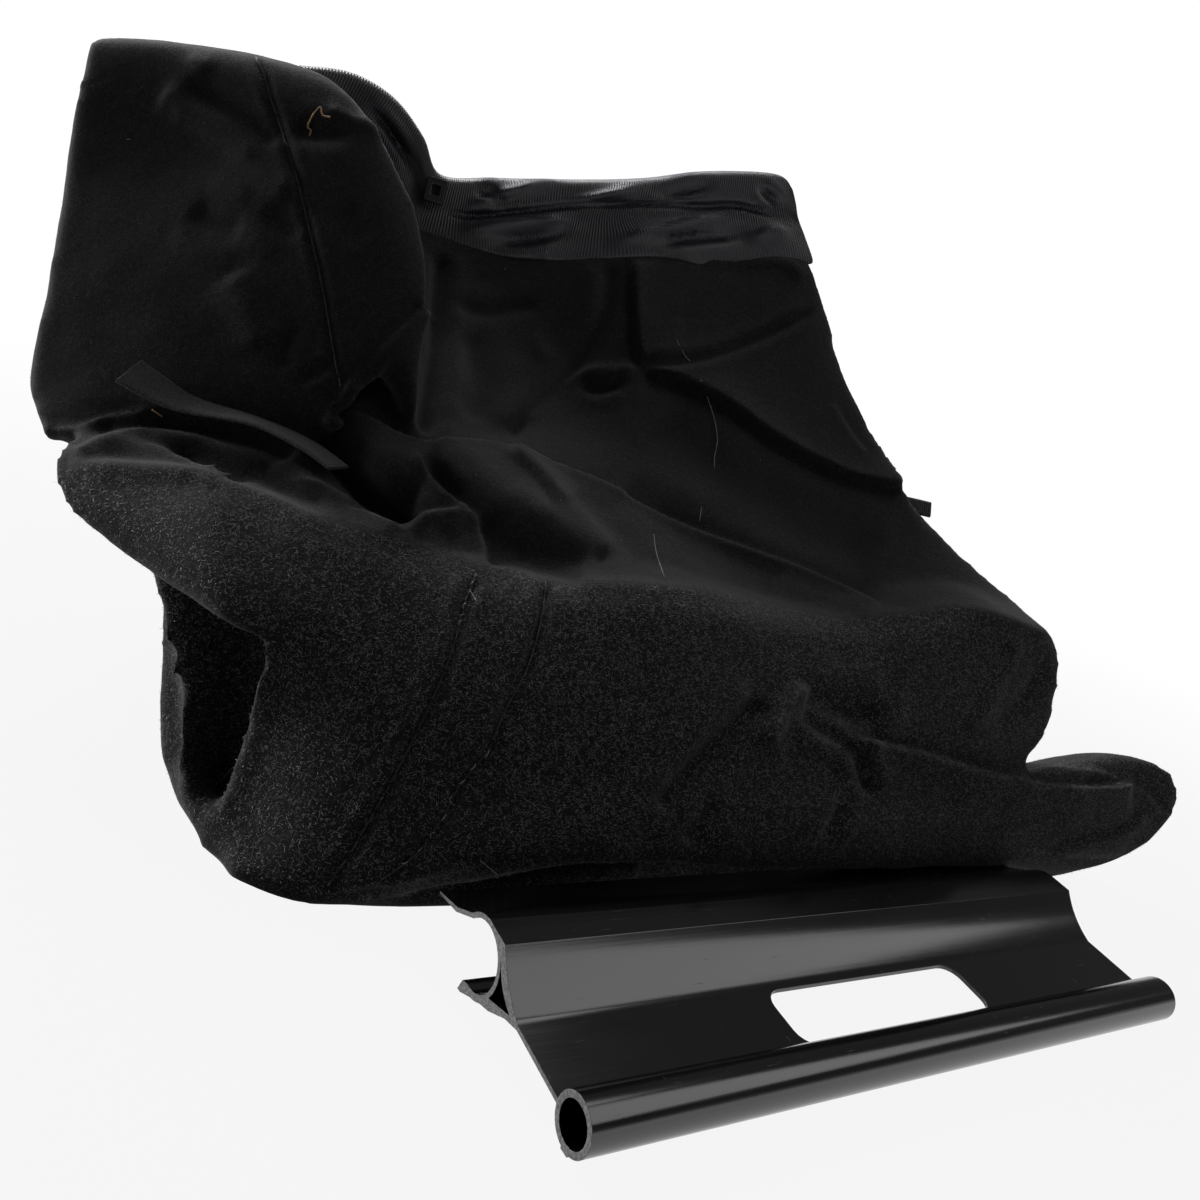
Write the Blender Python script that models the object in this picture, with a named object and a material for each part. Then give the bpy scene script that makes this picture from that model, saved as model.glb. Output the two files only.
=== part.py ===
"""Chipper shredder bag, lying folded behind its clip handle.

The bag is black felt with a knit collar at its mouth. It hangs from an extruded plastic handle: a round
grip, a web with a hand hole, a hollow triangular beam and a snap clip for a 1 inch bar. X runs along the
handle, Y runs back from the grip and Z is up. The drawing origin is under the middle of the grip, and
the finished part is moved to stand on the middle of its own footprint.
"""
import math

import bmesh
import bpy
from mathutils import Vector

MM = 0.001

# Handle, an extrusion lying on its keel and on the hook of its clip
HANDLE_LENGTH = 0.340
GRIP_RADIUS = 0.0100
GRIP_WALL = 0.0025
KEEL_HEIGHT = 0.0006
KEEL_WIDTH = 0.0040
WEB_THICKNESS = 0.0018
WEB_REACH = 0.0390
WEB_RISE = 0.0035
FACE_DEPTH = 0.0195
FACE_HEIGHT = 0.0172
FACE_HOLLOW = 0.0018
CLIP_BORE_RADIUS = 0.0130
CLIP_WALL = 0.0020
CLIP_CREST = 0.0014
LIP_START_ANGLE = 42.0
LIP_KINK_REACH = 0.0215
LIP_TIP_REACH = 0.0357
LIP_KINK_HEIGHT = 0.0054
LIP_TIP_HEIGHT = 0.0029
LIP_TIP_WALL = 0.0010
HOOK_START_ANGLE = -82.0
HOOK_REACH = 0.0070
HOOK_THICKNESS = 0.0022
HOOK_WALL = 0.0028
HAND_HOLE_LENGTH = 0.115
HAND_HOLE_OFFSET = -0.0020
HAND_HOLE_CORNER = 0.0080
HAND_HOLE_MARGIN = 0.0008

# Cloth
FELT_VOXEL = 0.0055
FELT_SMOOTHING = 7
SETTLE_COUNT = 2
FELT_TRIANGLES = 7400
ROLL_THICKNESS = 0.048
TONGUE_THICKNESS = 0.036
HOOD_THICKNESS = 0.034
COLLAR_THICKNESS = 0.013
COLLAR_LAP = 0.0030
CHANNEL_BULGE = 0.0022
STRAP_WIDTH = 0.019
STRAP_TIP_WIDTH = 0.0095
STRAP_THICKNESS = 0.0018
BUCKLE_SIZE = 0.0105
BUCKLE_THICKNESS = 0.0045
BUCKLE_WINDOW = 0.0045
SEAT_CLEARANCE = 0.0003

# How far under the floor the lowest felt is drawn, in mm, before the floor cuts it flat
BASE = -7

# The side from which the folds of the felt are pressed
FOLD_VIEW = Vector((0.58, 0.78, -0.24)).normalized()

GRIP_CENTRE_Z = KEEL_HEIGHT + GRIP_RADIUS
FACE_FOOT = Vector((WEB_REACH, GRIP_CENTRE_Z + WEB_THICKNESS / 2 + WEB_RISE))
FACE_TOP = FACE_FOOT + Vector((FACE_DEPTH, FACE_HEIGHT))
CLIP_OUTER_RADIUS = CLIP_BORE_RADIUS + CLIP_WALL
CLIP_CENTRE = FACE_TOP + Vector((CLIP_OUTER_RADIUS - 0.0021, CLIP_CREST - CLIP_OUTER_RADIUS))


def clear_scene():
    for obj in list(bpy.data.objects):
        bpy.data.objects.remove(obj, do_unlink=True)


def material(name, colour, roughness):
    mat = bpy.data.materials.new(name)
    mat.use_nodes = True
    shader = mat.node_tree.nodes["Principled BSDF"]
    shader.inputs["Base Color"].default_value = (*colour, 1.0)
    shader.inputs["Roughness"].default_value = roughness
    shader.inputs["Metallic"].default_value = 0.0
    return mat


def link(name, mesh, mat):
    obj = bpy.data.objects.new(name, mesh)
    bpy.context.scene.collection.objects.link(obj)
    if mat:
        mesh.materials.append(mat)
    return obj


def mesh_from(bm, name):
    bmesh.ops.recalc_face_normals(bm, faces=bm.faces)
    mesh = bpy.data.meshes.new(name)
    bm.to_mesh(mesh)
    bm.free()
    return mesh


def arc(centre, radius, start, end, steps):
    """Points on a circle in the handle's section, from one angle to another in degrees."""
    points = []
    for i in range(steps + 1):
        angle = math.radians(start + (end - start) * i / steps)
        points.append(centre + radius * Vector((math.cos(angle), math.sin(angle))))
    return points


def bowed(start, end, sag, steps):
    """Points between start and end on a shallow curve that sags to the right of the way."""
    along = end - start
    side = Vector((along.y, -along.x)).normalized()
    points = []
    for i in range(1, steps):
        t = i / steps
        points.append(start + along * t + side * sag * 4 * t * (1 - t))
    return points


def handle_outline():
    """The outside of the section, counter-clockwise seen from the right end, as (y, z) points."""
    grip = Vector((0.0, GRIP_CENTRE_Z))
    web_half = math.degrees(math.asin(WEB_THICKNESS / 2 / GRIP_RADIUS))
    keel_half = math.degrees(math.asin(KEEL_WIDTH / 2 / GRIP_RADIUS))
    kink_top = CLIP_CENTRE + Vector((LIP_KINK_REACH, LIP_KINK_HEIGHT))
    tip_top = CLIP_CENTRE + Vector((LIP_TIP_REACH, LIP_TIP_HEIGHT))
    wall = Vector((0.0, -CLIP_WALL))
    hook_tip_y = CLIP_CENTRE.x + HOOK_REACH
    web_foot_low = FACE_FOOT + Vector((0.0, -WEB_THICKNESS))
    outline = arc(grip, GRIP_RADIUS, web_half, 270 - keel_half, 30)
    outline.append(Vector((-KEEL_WIDTH / 2, 0.0)))
    outline.append(Vector((KEEL_WIDTH / 2, 0.0)))
    outline += arc(grip, GRIP_RADIUS, 270 + keel_half, 360 - web_half, 10)
    outline.append(web_foot_low)
    outline.append(FACE_FOOT + Vector((0.0080, -0.0035)))
    outline.append(CLIP_CENTRE + Vector((-0.0145, -0.0118)))
    outline += arc(CLIP_CENTRE, CLIP_BORE_RADIUS + HOOK_WALL, 238, 262, 4)
    outline.append(Vector((hook_tip_y - HOOK_THICKNESS, 0.0)))
    outline.append(Vector((hook_tip_y, 0.0)))
    outline.append(CLIP_CENTRE + Vector((0.0052, -0.0138)))
    outline += arc(CLIP_CENTRE, CLIP_BORE_RADIUS, 360 + HOOK_START_ANGLE, LIP_START_ANGLE, 24)
    outline.append(kink_top + wall)
    outline.append(tip_top - Vector((0.0, LIP_TIP_WALL)))
    outline.append(tip_top)
    outline.append(kink_top)
    outline += arc(CLIP_CENTRE, CLIP_OUTER_RADIUS, LIP_START_ANGLE, 92, 8)
    outline.append(FACE_TOP)
    outline += bowed(FACE_TOP, FACE_FOOT, -FACE_HOLLOW, 8)
    outline.append(FACE_FOOT)
    return outline


def beam_hollow():
    """The triangular hollow between the face, the underside and the clip's own round wall."""
    wall_back = arc(CLIP_CENTRE, CLIP_OUTER_RADIUS, 150, 212, 6)
    corner = FACE_FOOT + Vector((0.0058, -0.0006))
    face = bowed(wall_back[0], corner, -FACE_HOLLOW, 6)
    return [corner] + list(reversed(face)) + wall_back


def prism(loops, start_x, end_x):
    """An extrusion along X of a section, whose first loop is the outside and the others are holes."""
    bm = bmesh.new()
    for loop in loops:
        verts = [bm.verts.new((start_x, p.x, p.y)) for p in loop]
        for a, b in zip(verts, verts[1:] + verts[:1]):
            bm.edges.new((a, b))
    bmesh.ops.triangle_fill(bm, use_beauty=True, edges=bm.edges[:])
    grown = bmesh.ops.extrude_face_region(bm, geom=bm.faces[:])
    moved = [item for item in grown["geom"] if isinstance(item, bmesh.types.BMVert)]
    bmesh.ops.translate(bm, vec=(end_x - start_x, 0, 0), verts=moved)
    return bm


def cutter(obj):
    obj.hide_render = True
    obj.display_type = "WIRE"
    return obj


def subtract(obj, tool):
    cut = obj.modifiers.new("cut_" + tool.name, "BOOLEAN")
    cut.operation = "DIFFERENCE"
    cut.solver = "EXACT"
    cut.object = tool


def build_handle(mat):
    grip = Vector((0.0, GRIP_CENTRE_Z))
    bore = arc(grip, GRIP_RADIUS - GRIP_WALL, 0, 360, 32)[:-1]
    section = [handle_outline(), bore, beam_hollow()]
    half = HANDLE_LENGTH / 2
    obj = link("clip_handle", mesh_from(prism(section, -half, half), "clip_handle"), mat)
    front = GRIP_RADIUS + HAND_HOLE_MARGIN
    back = WEB_REACH - HAND_HOLE_MARGIN
    half_hole = HAND_HOLE_LENGTH / 2
    rim = []
    corners = ((half_hole, back, 0), (-half_hole, back, 90), (-half_hole, front, 180), (half_hole, front, 270))
    for x, y, angle in corners:
        inward = Vector((-math.copysign(HAND_HOLE_CORNER, x), HAND_HOLE_CORNER if y == front else -HAND_HOLE_CORNER))
        rim += arc(Vector((x + HAND_HOLE_OFFSET, y)) + inward, HAND_HOLE_CORNER, angle, angle + 90, 5)
    bm = bmesh.new()
    low = FACE_FOOT.y - WEB_THICKNESS - WEB_RISE - GRIP_RADIUS / 2
    floor_ring = [bm.verts.new((p.x, p.y, low)) for p in rim]
    cap = bm.faces.new(floor_ring)
    grown = bmesh.ops.extrude_face_region(bm, geom=[cap])
    moved = [item for item in grown["geom"] if isinstance(item, bmesh.types.BMVert)]
    bmesh.ops.translate(bm, vec=(0, 0, FACE_FOOT.y + GRIP_RADIUS - low), verts=moved)
    subtract(obj, cutter(link("hand_hole_cutter", mesh_from(bm, "hand_hole_cutter"), None)))
    return obj


def spline(points, steps, closed):
    """A smooth curve through points, Catmull-Rom, with steps points for each gap."""
    count = len(points)
    gaps = count if closed else count - 1
    result = []
    for i in range(gaps):
        if closed:
            p0, p1, p2, p3 = (points[(i + k) % count] for k in (-1, 0, 1, 2))
        else:
            p0, p1, p2, p3 = (points[min(max(i + k, 0), count - 1)] for k in (-1, 0, 1, 2))
        for j in range(steps):
            t = j / steps
            result.append(0.5 * (2 * p1 + (p2 - p0) * t + (2 * p0 - 5 * p1 + 4 * p2 - p3) * t * t
                                 + (3 * p1 - p0 - 3 * p2 + p3) * t * t * t))
    if not closed:
        result.append(points[-1])
    return result


def mm(*points):
    return [Vector(p) * MM for p in points]


def loft(sections, steps_along=4, steps_around=3):
    """A closed skin over sections, each a ring of as many points, with both ends filled."""
    lines = [spline([s[i] for s in sections], steps_along, False) for i in range(len(sections[0]))]
    bm = bmesh.new()
    rings = []
    for station in range(len(lines[0])):
        ring = spline([line[station] for line in lines], steps_around, True)
        rings.append([bm.verts.new(p) for p in ring])
    count = len(rings[0])
    for a, b in zip(rings, rings[1:]):
        for i in range(count):
            j = (i + 1) % count
            bm.faces.new((a[i], a[j], b[j], b[i]))
    for ring in (rings[0], rings[-1]):
        centre = bm.verts.new(sum((v.co for v in ring), Vector()) / count)
        for i in range(count):
            bm.faces.new((ring[i], ring[(i + 1) % count], centre))
    return bm


def sheet(fronts, back_offsets):
    """A thick fold of cloth: each section runs down its front and comes back up its rear."""
    sections = []
    for front, offset in zip(fronts, back_offsets):
        rear = [p + offset for p in reversed(front)]
        sections.append(front + rear)
    return loft(sections)


def front_roll():
    """The roll of felt along the front, from its curled left border to its right end."""
    fronts = [
        mm((-282, 314, 119), (-291, 300, 112), (-289, 288, 103), (-284, 281, 97), (-278, 281, 95), (-273, 284, 95)),
        mm((-264, 290, 125), (-273, 268, 110), (-272, 255, 98), (-266, 247, 90), (-260, 245, 87), (-254, 248, 87)),
        mm((-241, 267, 128), (-244, 235, 113), (-247, 216, 99), (-244, 205, 88), (-238, 203, 84), (-232, 207, 84)),
        mm((-231, 256, 127), (-230, 222, 110), (-232, 200, 95), (-231, 191, 83), (-227, 189, 76), (-222, 194, 74)),
        mm((-221, 245, 126), (-217, 206, 108), (-219, 188, 84), (-224, 184, 50), (-229, 177, 18), (-237, 172, BASE)),
        mm((-204, 225, 124), (-197, 192, 107), (-190, 164, 82), (-196, 148, 50), (-209, 144, 20), (-219, 146, BASE)),
        mm((-146, 186, 121), (-154, 162, 102), (-157, 140, 74), (-156, 128, 54), (-158, 114, 34), (-160, 118, 16)),
        mm((-93, 172, 128), (-100, 147, 104), (-103, 128, 80), (-103, 118, 62), (-105, 107, 44), (-108, 106, 30)),
        mm((-42, 164, 132), (-51, 139, 106), (-54, 124, 86), (-55, 115, 68), (-56, 104, 48), (-54, 102, 30)),
        mm((43, 157, 128), (33, 135, 103), (28, 120, 84), (26, 111, 68), (24, 99, 47), (20, 99, 26)),
        mm((106, 154, 144), (97, 130, 112), (93, 117, 86), (93, 108, 66), (92, 97, 45), (95, 98, 24)),
        mm((150, 146, 152), (148, 128, 120), (147, 116, 90), (148, 110, 70), (155, 100, 45), (160, 99, 25)),
        mm((195, 132, 146), (202, 123, 122), (199, 119, 100), (190, 116, 82), (176, 114, 68), (172, 112, 50)),
    ]
    depth = ROLL_THICKNESS
    thin = Vector((0.010, depth * 0.25, 0.004))
    curled = Vector((0.012, depth * 0.45, 0))
    full = Vector((0, depth, 0))
    return sheet(fronts, [thin, thin, thin, curled, curled] + [full] * 7 + [Vector((-0.01, depth * 0.6, 0))])


def tongue():
    """The flattened corner of felt that runs out past the right end of the handle."""
    fronts = [
        mm((30, 128, 88), (30, 118, 70), (32, 108, 52), (34, 104, 34)),
        mm((88, 116, 78), (92, 108, 64), (94, 98, 48), (96, 97, 26)),
        mm((155, 108, 71), (158, 100, 58), (163, 93, 40), (170, 96, 22)),
        mm((212, 112, 76), (214, 96, 60), (224, 91, 38), (228, 97, 15)),
        mm((268, 112, 85), (272, 98, 70), (274, 88, 44), (270, 94, 20)),
        mm((300, 98, 83), (309, 92, 74), (306, 86, 55), (292, 90, 34)),
        mm((311, 96, 72), (314, 92, 66), (309, 92, 56), (304, 94, 50)),
    ]
    depth = TONGUE_THICKNESS
    low = Vector((0.004, depth * 1.2, -0.030))
    offsets = [Vector((0, depth, 0))] * 2 + [Vector((0, depth, -0.008)), low, low,
                                             Vector((-0.004, depth * 0.7, -0.010)), Vector((-0.004, depth * 0.3, 0))]
    return sheet(fronts, offsets)


def hood():
    """The flap that stands at the left, with its diagonal fold at its right border."""
    fronts = [
        mm((-292, 425, 291), (-297, 411, 252), (-304, 386, 190), (-311, 362, 136), (-296, 338, 116)),
        mm((-262, 405, 300), (-258, 384, 252), (-254, 352, 208), (-248, 328, 168), (-240, 312, 136)),
        mm((-224, 378, 306), (-214, 348, 270), (-204, 322, 236), (-194, 298, 200), (-190, 282, 150)),
        mm((-192, 356, 306), (-183, 328, 280), (-175, 306, 250), (-171, 290, 214), (-186, 281, 165)),
        mm((-170, 334, 284), (-159, 319, 266), (-152, 304, 242), (-151, 291, 222), (-168, 283, 190)),
        mm((-162, 336, 268), (-155, 322, 256), (-150, 306, 240), (-150, 292, 210), (-148, 276, 165)),
    ]
    back = Vector((0.010, HOOD_THICKNESS, -0.004))
    return sheet(fronts, [back * 0.5, back * 1.2, back * 1.3, back, back * 0.8, back * 0.7])


def seat_and_back():
    """The main folds behind the roll: seat, valley, back panel up to the collar, and the plain rear.

    Each ring starts at the front of the base and runs up the front, over the seat, up the back panel
    to the collar's seam, and down the rear to the floor.
    """
    sections = [
        mm((-254, 266, 84), (-257, 270, 90), (-262, 280, 100), (-274, 303, 110), (-283, 322, 118), (-294, 345, 124),
           (-292, 375, 130), (-277, 398, 132), (-264, 410, 126), (-257, 416, 112), (-250, 408, 96), (-250, 340, 84)),
        mm((-244, 188, BASE), (-248, 229, 16), (-250, 241, 62), (-253, 268, 98), (-256, 306, 126), (-258, 345, 140),
           (-252, 382, 160), (-240, 408, 180), (-236, 420, 180), (-230, 432, 140), (-216, 434, 70), (-196, 412, BASE)),
        mm((-212, 162, BASE), (-213, 228, 16), (-216, 252, 104), (-214, 276, 132), (-212, 308, 150), (-208, 340, 166),
           (-206, 382, 206), (-200, 416, 266), (-200, 429, 266), (-202, 442, 180), (-198, 448, 80), (-188, 438, BASE)),
        mm((-180, 165, BASE), (-182, 165, 50), (-180, 215, 114), (-174, 245, 138), (-166, 280, 158), (-160, 300, 176),
           (-156, 345, 215), (-152, 403, 262), (-152, 416, 262), (-155, 438, 180), (-160, 447, 80), (-165, 438, BASE)),
        mm((-125, 150, BASE), (-128, 152, 50), (-125, 192, 116), (-122, 226, 148), (-108, 266, 167), (-98, 285, 172),
           (-106, 340, 214), (-120, 389, 258), (-120, 402, 258), (-118, 432, 180), (-116, 450, 80), (-115, 440, BASE)),
        mm((-65, 142, BASE), (-65, 148, 50), (-65, 180, 118), (-65, 204, 138), (-50, 240, 158), (-47, 308, 196),
           (-58, 338, 224), (-72, 368, 260), (-72, 381, 260), (-66, 420, 180), (-62, 448, 80), (-60, 440, BASE)),
        mm((-15, 138, BASE), (-12, 146, 50), (-15, 174, 120), (-18, 192, 135), (-9, 221, 148), (-11, 300, 217),
           (-14, 323, 242), (-13, 352, 281), (-13, 365, 281), (-12, 412, 190), (-10, 445, 80), (-8, 440, BASE)),
        mm((45, 136, BASE), (48, 146, 50), (46, 165, 118), (42, 180, 131), (34, 204, 144), (36, 262, 201),
           (38, 300, 246), (38, 335, 289), (40, 348, 289), (45, 398, 190), (50, 434, 80), (55, 430, BASE)),
        mm((110, 136, BASE), (112, 142, 50), (108, 160, 126), (104, 168, 137), (92, 179, 137), (90, 240, 194),
           (80, 283, 250), (73, 325, 303), (75, 338, 303), (85, 384, 200), (100, 417, 80), (110, 415, BASE)),
        mm((165, 138, BASE), (168, 138, 50), (155, 154, 136), (150, 156, 148), (142, 180, 158), (128, 227, 196),
           (107, 284, 260), (90, 319, 307), (92, 331, 306), (105, 372, 200), (130, 395, 80), (145, 390, BASE)),
        mm((215, 150, BASE), (212, 142, 46), (196, 137, 138), (194, 142, 148), (178, 166, 163), (144, 214, 191),
           (114, 281, 252), (95, 321, 304), (97, 331, 302), (115, 352, 200), (160, 358, 80), (190, 340, BASE)),
    ]
    return loft(sections)


# Fold lines of the felt in mm: points, depth pressed in (negative raises a ridge), width
FOLDS = {
    "roll_star_left": (mm((20, 132, 104), (-28, 118, 94), (-54, 112, 75), (-80, 108, 55)), 5, 10),
    "roll_star_right": (mm((6, 121, 89), (26, 114, 84), (36, 107, 75), (48, 104, 62)), 6, 9),
    "roll_tongue_valley": (mm((28, 122, 84), (86, 116, 78), (155, 110, 74), (205, 108, 72)), 5, 9),
    "tongue_crease": (mm((180, 100, 60), (225, 94, 52), (270, 92, 48)), 4, 9),
    "heart_left": (mm((-160, 262, 156), (-150, 236, 146), (-143, 200, 128)), 7, 8),
    "heart_right": (mm((-128, 262, 163), (-130, 236, 150), (-140, 206, 134)), 6, 8),
    "heart_crest": (mm((-142, 250, 158), (-138, 224, 146)), -4, 8),
    "panel_crease": (mm((-12, 352, 275), (-14, 330, 245), (-12, 306, 217)), 3, 7),
    "panel_ridge_right": (mm((-11, 303, 217), (35, 263, 201), (84, 241, 193), (130, 226, 194)), -5, 9),
    "panel_ridge_left": (mm((-11, 303, 217), (-47, 312, 198), (-90, 287, 170)), -4, 9),
    "hood_seam": (mm((-226, 381, 308), (-214, 348, 272), (-204, 322, 236), (-190, 286, 188)), 3, 5),
    "hood_diagonal": (mm((-150, 291, 223), (-168, 284, 192), (-188, 281, 163)), -5, 8),
    "hood_pocket": (mm((-188, 276, 160), (-166, 272, 160), (-146, 266, 163)), 8, 9),
    "seam_a": (mm((-145, 186, 123), (-157, 165, 103), (-169, 150, 82), (-181, 140, 58), (-196, 134, 24)), 3, 5),
    "seam_b": (mm((-118, 178, 125), (-129, 153, 100), (-142, 140, 81), (-156, 129, 56), (-178, 125, 22)), 3, 5),
    "left_arm": (mm((-276, 318, 122), (-240, 296, 134), (-205, 270, 138), (-180, 256, 142)), 4, 10),
    "second_layer": (mm((-212, 146, 12), (-190, 132, 10), (-166, 122, 10)), 5, 7),
}
FOLD_REACH = 0.035


def press_folds(mesh):
    """Moves each point near a fold line along the way that the folds are pressed."""
    moves = [Vector() for _ in mesh.vertices]
    for points, depth, width in FOLDS.values():
        path = spline(points, 6, False)
        for i, vert in enumerate(mesh.vertices):
            nearest = None
            for a, b in zip(path, path[1:]):
                way = b - a
                t = min(max((vert.co - a).dot(way) / way.length_squared, 0.0), 1.0)
                off = vert.co - (a + way * t)
                deep = off.dot(FOLD_VIEW)
                aside = (off - FOLD_VIEW * deep).length
                if abs(deep) < FOLD_REACH and (nearest is None or aside < nearest):
                    nearest = aside
            facing = min(max(-vert.normal.dot(FOLD_VIEW) * 2.5, 0.0), 1.0)
            if nearest is not None:
                moves[i] += FOLD_VIEW * depth * MM * facing * math.exp(-(nearest / (width * MM)) ** 2)
    for vert, move in zip(mesh.vertices, moves):
        vert.co += move


def evaluated_mesh(obj):
    depsgraph = bpy.context.evaluated_depsgraph_get()
    return bpy.data.meshes.new_from_object(obj.evaluated_get(depsgraph))


def grown_copy(obj, name, extra):
    """A copy of a piece, thicker by a clearance all round, to cut its seat in the felt."""
    mesh = evaluated_mesh(obj)
    bm = bmesh.new()
    bm.from_mesh(mesh)
    bmesh.ops.recalc_face_normals(bm, faces=bm.faces)
    bm.normal_update()
    shifts = [v.normal * min(v.calc_shell_factor(), 2.0) * extra for v in bm.verts]
    for vert, shift in zip(bm.verts, shifts):
        vert.co += shift
    bm.to_mesh(mesh)
    bm.free()
    mesh.name = name
    mesh.materials.clear()
    copy = cutter(link(name, mesh, None))
    copy.matrix_basis = obj.matrix_basis
    return copy


def build_bag(mat, neighbours):
    raw = bmesh.new()
    for lobe in (seat_and_back(), front_roll(), hood(), tongue()):
        bmesh.ops.recalc_face_normals(lobe, faces=lobe.faces)
        piece = bpy.data.meshes.new("lobe")
        lobe.to_mesh(piece)
        lobe.free()
        raw.from_mesh(piece)
        bpy.data.meshes.remove(piece)
    mesh = bpy.data.meshes.new("felt_lobes")
    raw.to_mesh(mesh)
    raw.free()
    lobes = link("felt_lobes", mesh, None)
    remesh = lobes.modifiers.new("one_skin", "REMESH")
    remesh.mode = "VOXEL"
    remesh.voxel_size = FELT_VOXEL
    smooth = lobes.modifiers.new("soften", "SMOOTH")
    smooth.factor = 0.6
    smooth.iterations = FELT_SMOOTHING
    skin = evaluated_mesh(lobes)
    bpy.data.objects.remove(lobes, do_unlink=True)
    press_folds(skin)
    skin.name = "bag_body"
    obj = link("bag_body", skin, mat)
    floor = bmesh.new()
    bmesh.ops.create_cube(floor, size=1.0)
    bmesh.ops.translate(floor, vec=(0, 0, -0.5), verts=floor.verts)
    ground = cutter(link("ground_cutter", mesh_from(floor, "ground_cutter"), None))
    settle = obj.modifiers.new("settle_folds", "SMOOTH")
    settle.factor = 0.5
    settle.iterations = SETTLE_COUNT
    thin = obj.modifiers.new("fewer_facets", "DECIMATE")
    thin.ratio = FELT_TRIANGLES / sum(len(p.vertices) - 2 for p in skin.polygons)
    subtract(obj, ground)
    for piece in neighbours:
        subtract(obj, grown_copy(piece, "seat_of_" + piece.name, SEAT_CLEARANCE))
    return obj


# Lines of the collar from left to right in mm: seam, stitch line under the channel, top edge
COLLAR_SEAM = mm((-196, 419, 264), (-172, 413, 262), (-150, 402, 260), (-133, 392, 256), (-121, 387, 254),
                 (-80, 371, 257), (-42, 358, 266), (5, 345, 283), (36, 335, 287), (78, 323, 303), (94, 319, 308))
COLLAR_STITCH = mm((-192, 428, 298), (-170, 424, 302), (-149, 415, 302), (-130, 402, 288), (-119, 389, 267),
                   (-83, 379, 274), (-38, 366, 287), (-6, 356, 301), (30, 350, 314), (72, 338, 330), (86, 332, 328))
COLLAR_TOP = mm((-190, 433, 316), (-164, 431, 322), (-142, 420, 317), (-126, 406, 302), (-115, 395, 285),
                (-84, 388, 293), (-36, 375, 308), (-3, 365, 320), (31, 356, 335), (70, 345, 347), (80, 341, 344))


def build_collar(mat):
    """The knit band at the bag's mouth, drawn flat, with its cord channel along the top."""
    sections = []
    thick = Vector((0.002, COLLAR_THICKNESS, 0))
    for seam, stitch, top in zip(COLLAR_SEAM, COLLAR_STITCH, COLLAR_TOP):
        up = (top - seam).normalized()
        front = Vector((-0.3, -1.0, 0)).normalized()
        low = seam - up * COLLAR_LAP + front * 0.001
        middle = seam.lerp(stitch, 0.5) + front * CHANNEL_BULGE * 0.6
        channel = stitch.lerp(top, 0.5) + front * CHANNEL_BULGE
        rim = top + front * 0.001
        ring = [low, middle, stitch, channel, rim]
        rear = [low + thick, middle + thick, stitch + thick * 0.85, channel + thick, rim + thick]
        sections.append(ring + list(reversed(rear)))
    obj = link("knit_collar", mesh_from(loft(sections, 3, 2), "knit_collar"), mat)
    return obj


def band(points, width_ways, width, thickness):
    """A flat strap along points; each width way is the direction across it."""
    sections = []
    for i, (point, way) in enumerate(zip(points, width_ways)):
        ahead = points[min(i + 1, len(points) - 1)] - points[max(i - 1, 0)]
        across = (way - ahead * (way.dot(ahead) / ahead.length_squared)).normalized()
        up = ahead.cross(across).normalized()
        w = across * width / 2
        h = up * thickness / 2
        sections.append([point - w - h, point + w - h, point + w + h, point - w + h])
    bm = bmesh.new()
    rings = [[bm.verts.new(p) for p in s] for s in sections]
    for a, b in zip(rings, rings[1:]):
        for i in range(4):
            j = (i + 1) % 4
            bm.faces.new((a[i], a[j], b[j], b[i]))
    bm.faces.new(rings[0])
    bm.faces.new(rings[-1])
    return bm


def build_straps(mat):
    """Two ends of webbing: one lies on the left arm and turns edge-on, one shows its tip at the right."""
    left_line = mm((-267, 325, 155), (-246, 310, 149), (-218, 291, 150), (-194, 268, 146), (-179, 249, 138))
    left_path = spline(left_line, 4, False)
    flat = Vector((0.59, 0.80, 0.05))
    upright = Vector((0.48, 0.68, 0.55))
    left_ways = [upright.lerp(flat, min(i / (len(left_path) * 0.6), 1.0)) for i in range(len(left_path))]
    left = link("strap_left", mesh_from(band(left_path, left_ways, STRAP_WIDTH, STRAP_THICKNESS), "strap_left"), mat)
    right_path = mm((120, 236, 184), (142, 228, 187), (160, 221, 188))
    right = link("strap_right", mesh_from(band(right_path, [Vector((0, 0.5, 0.85))] * 3, STRAP_TIP_WIDTH,
                                               STRAP_THICKNESS), "strap_right"), mat)
    return left, right


def build_buckle(mat, collar):
    """The small square tie head that gathers the collar, a frame with a window."""
    bm = bmesh.new()
    outer = BUCKLE_SIZE / 2
    inner = BUCKLE_WINDOW / 2
    for half in (outer, inner):
        ring = [bm.verts.new((x * half, 0, z * half * 1.25)) for x, z in ((-1, -1), (1, -1), (1, 1), (-1, 1))]
        for a, b in zip(ring, ring[1:] + ring[:1]):
            bm.edges.new((a, b))
    bmesh.ops.triangle_fill(bm, use_beauty=True, edges=bm.edges[:])
    grown = bmesh.ops.extrude_face_region(bm, geom=bm.faces[:])
    moved = [item for item in grown["geom"] if isinstance(item, bmesh.types.BMVert)]
    bmesh.ops.translate(bm, vec=(0, BUCKLE_THICKNESS, 0), verts=moved)
    obj = link("tie_head", mesh_from(bm, "tie_head"), mat)
    place = COLLAR_TOP[4].lerp(COLLAR_STITCH[4], 0.45)
    obj.rotation_euler = (math.radians(-12), 0, math.radians(-25))
    obj.location = place + Vector((-0.003, -0.0055, 0))
    subtract(collar, grown_copy(obj, "seat_in_collar", SEAT_CLEARANCE))
    return obj


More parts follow.
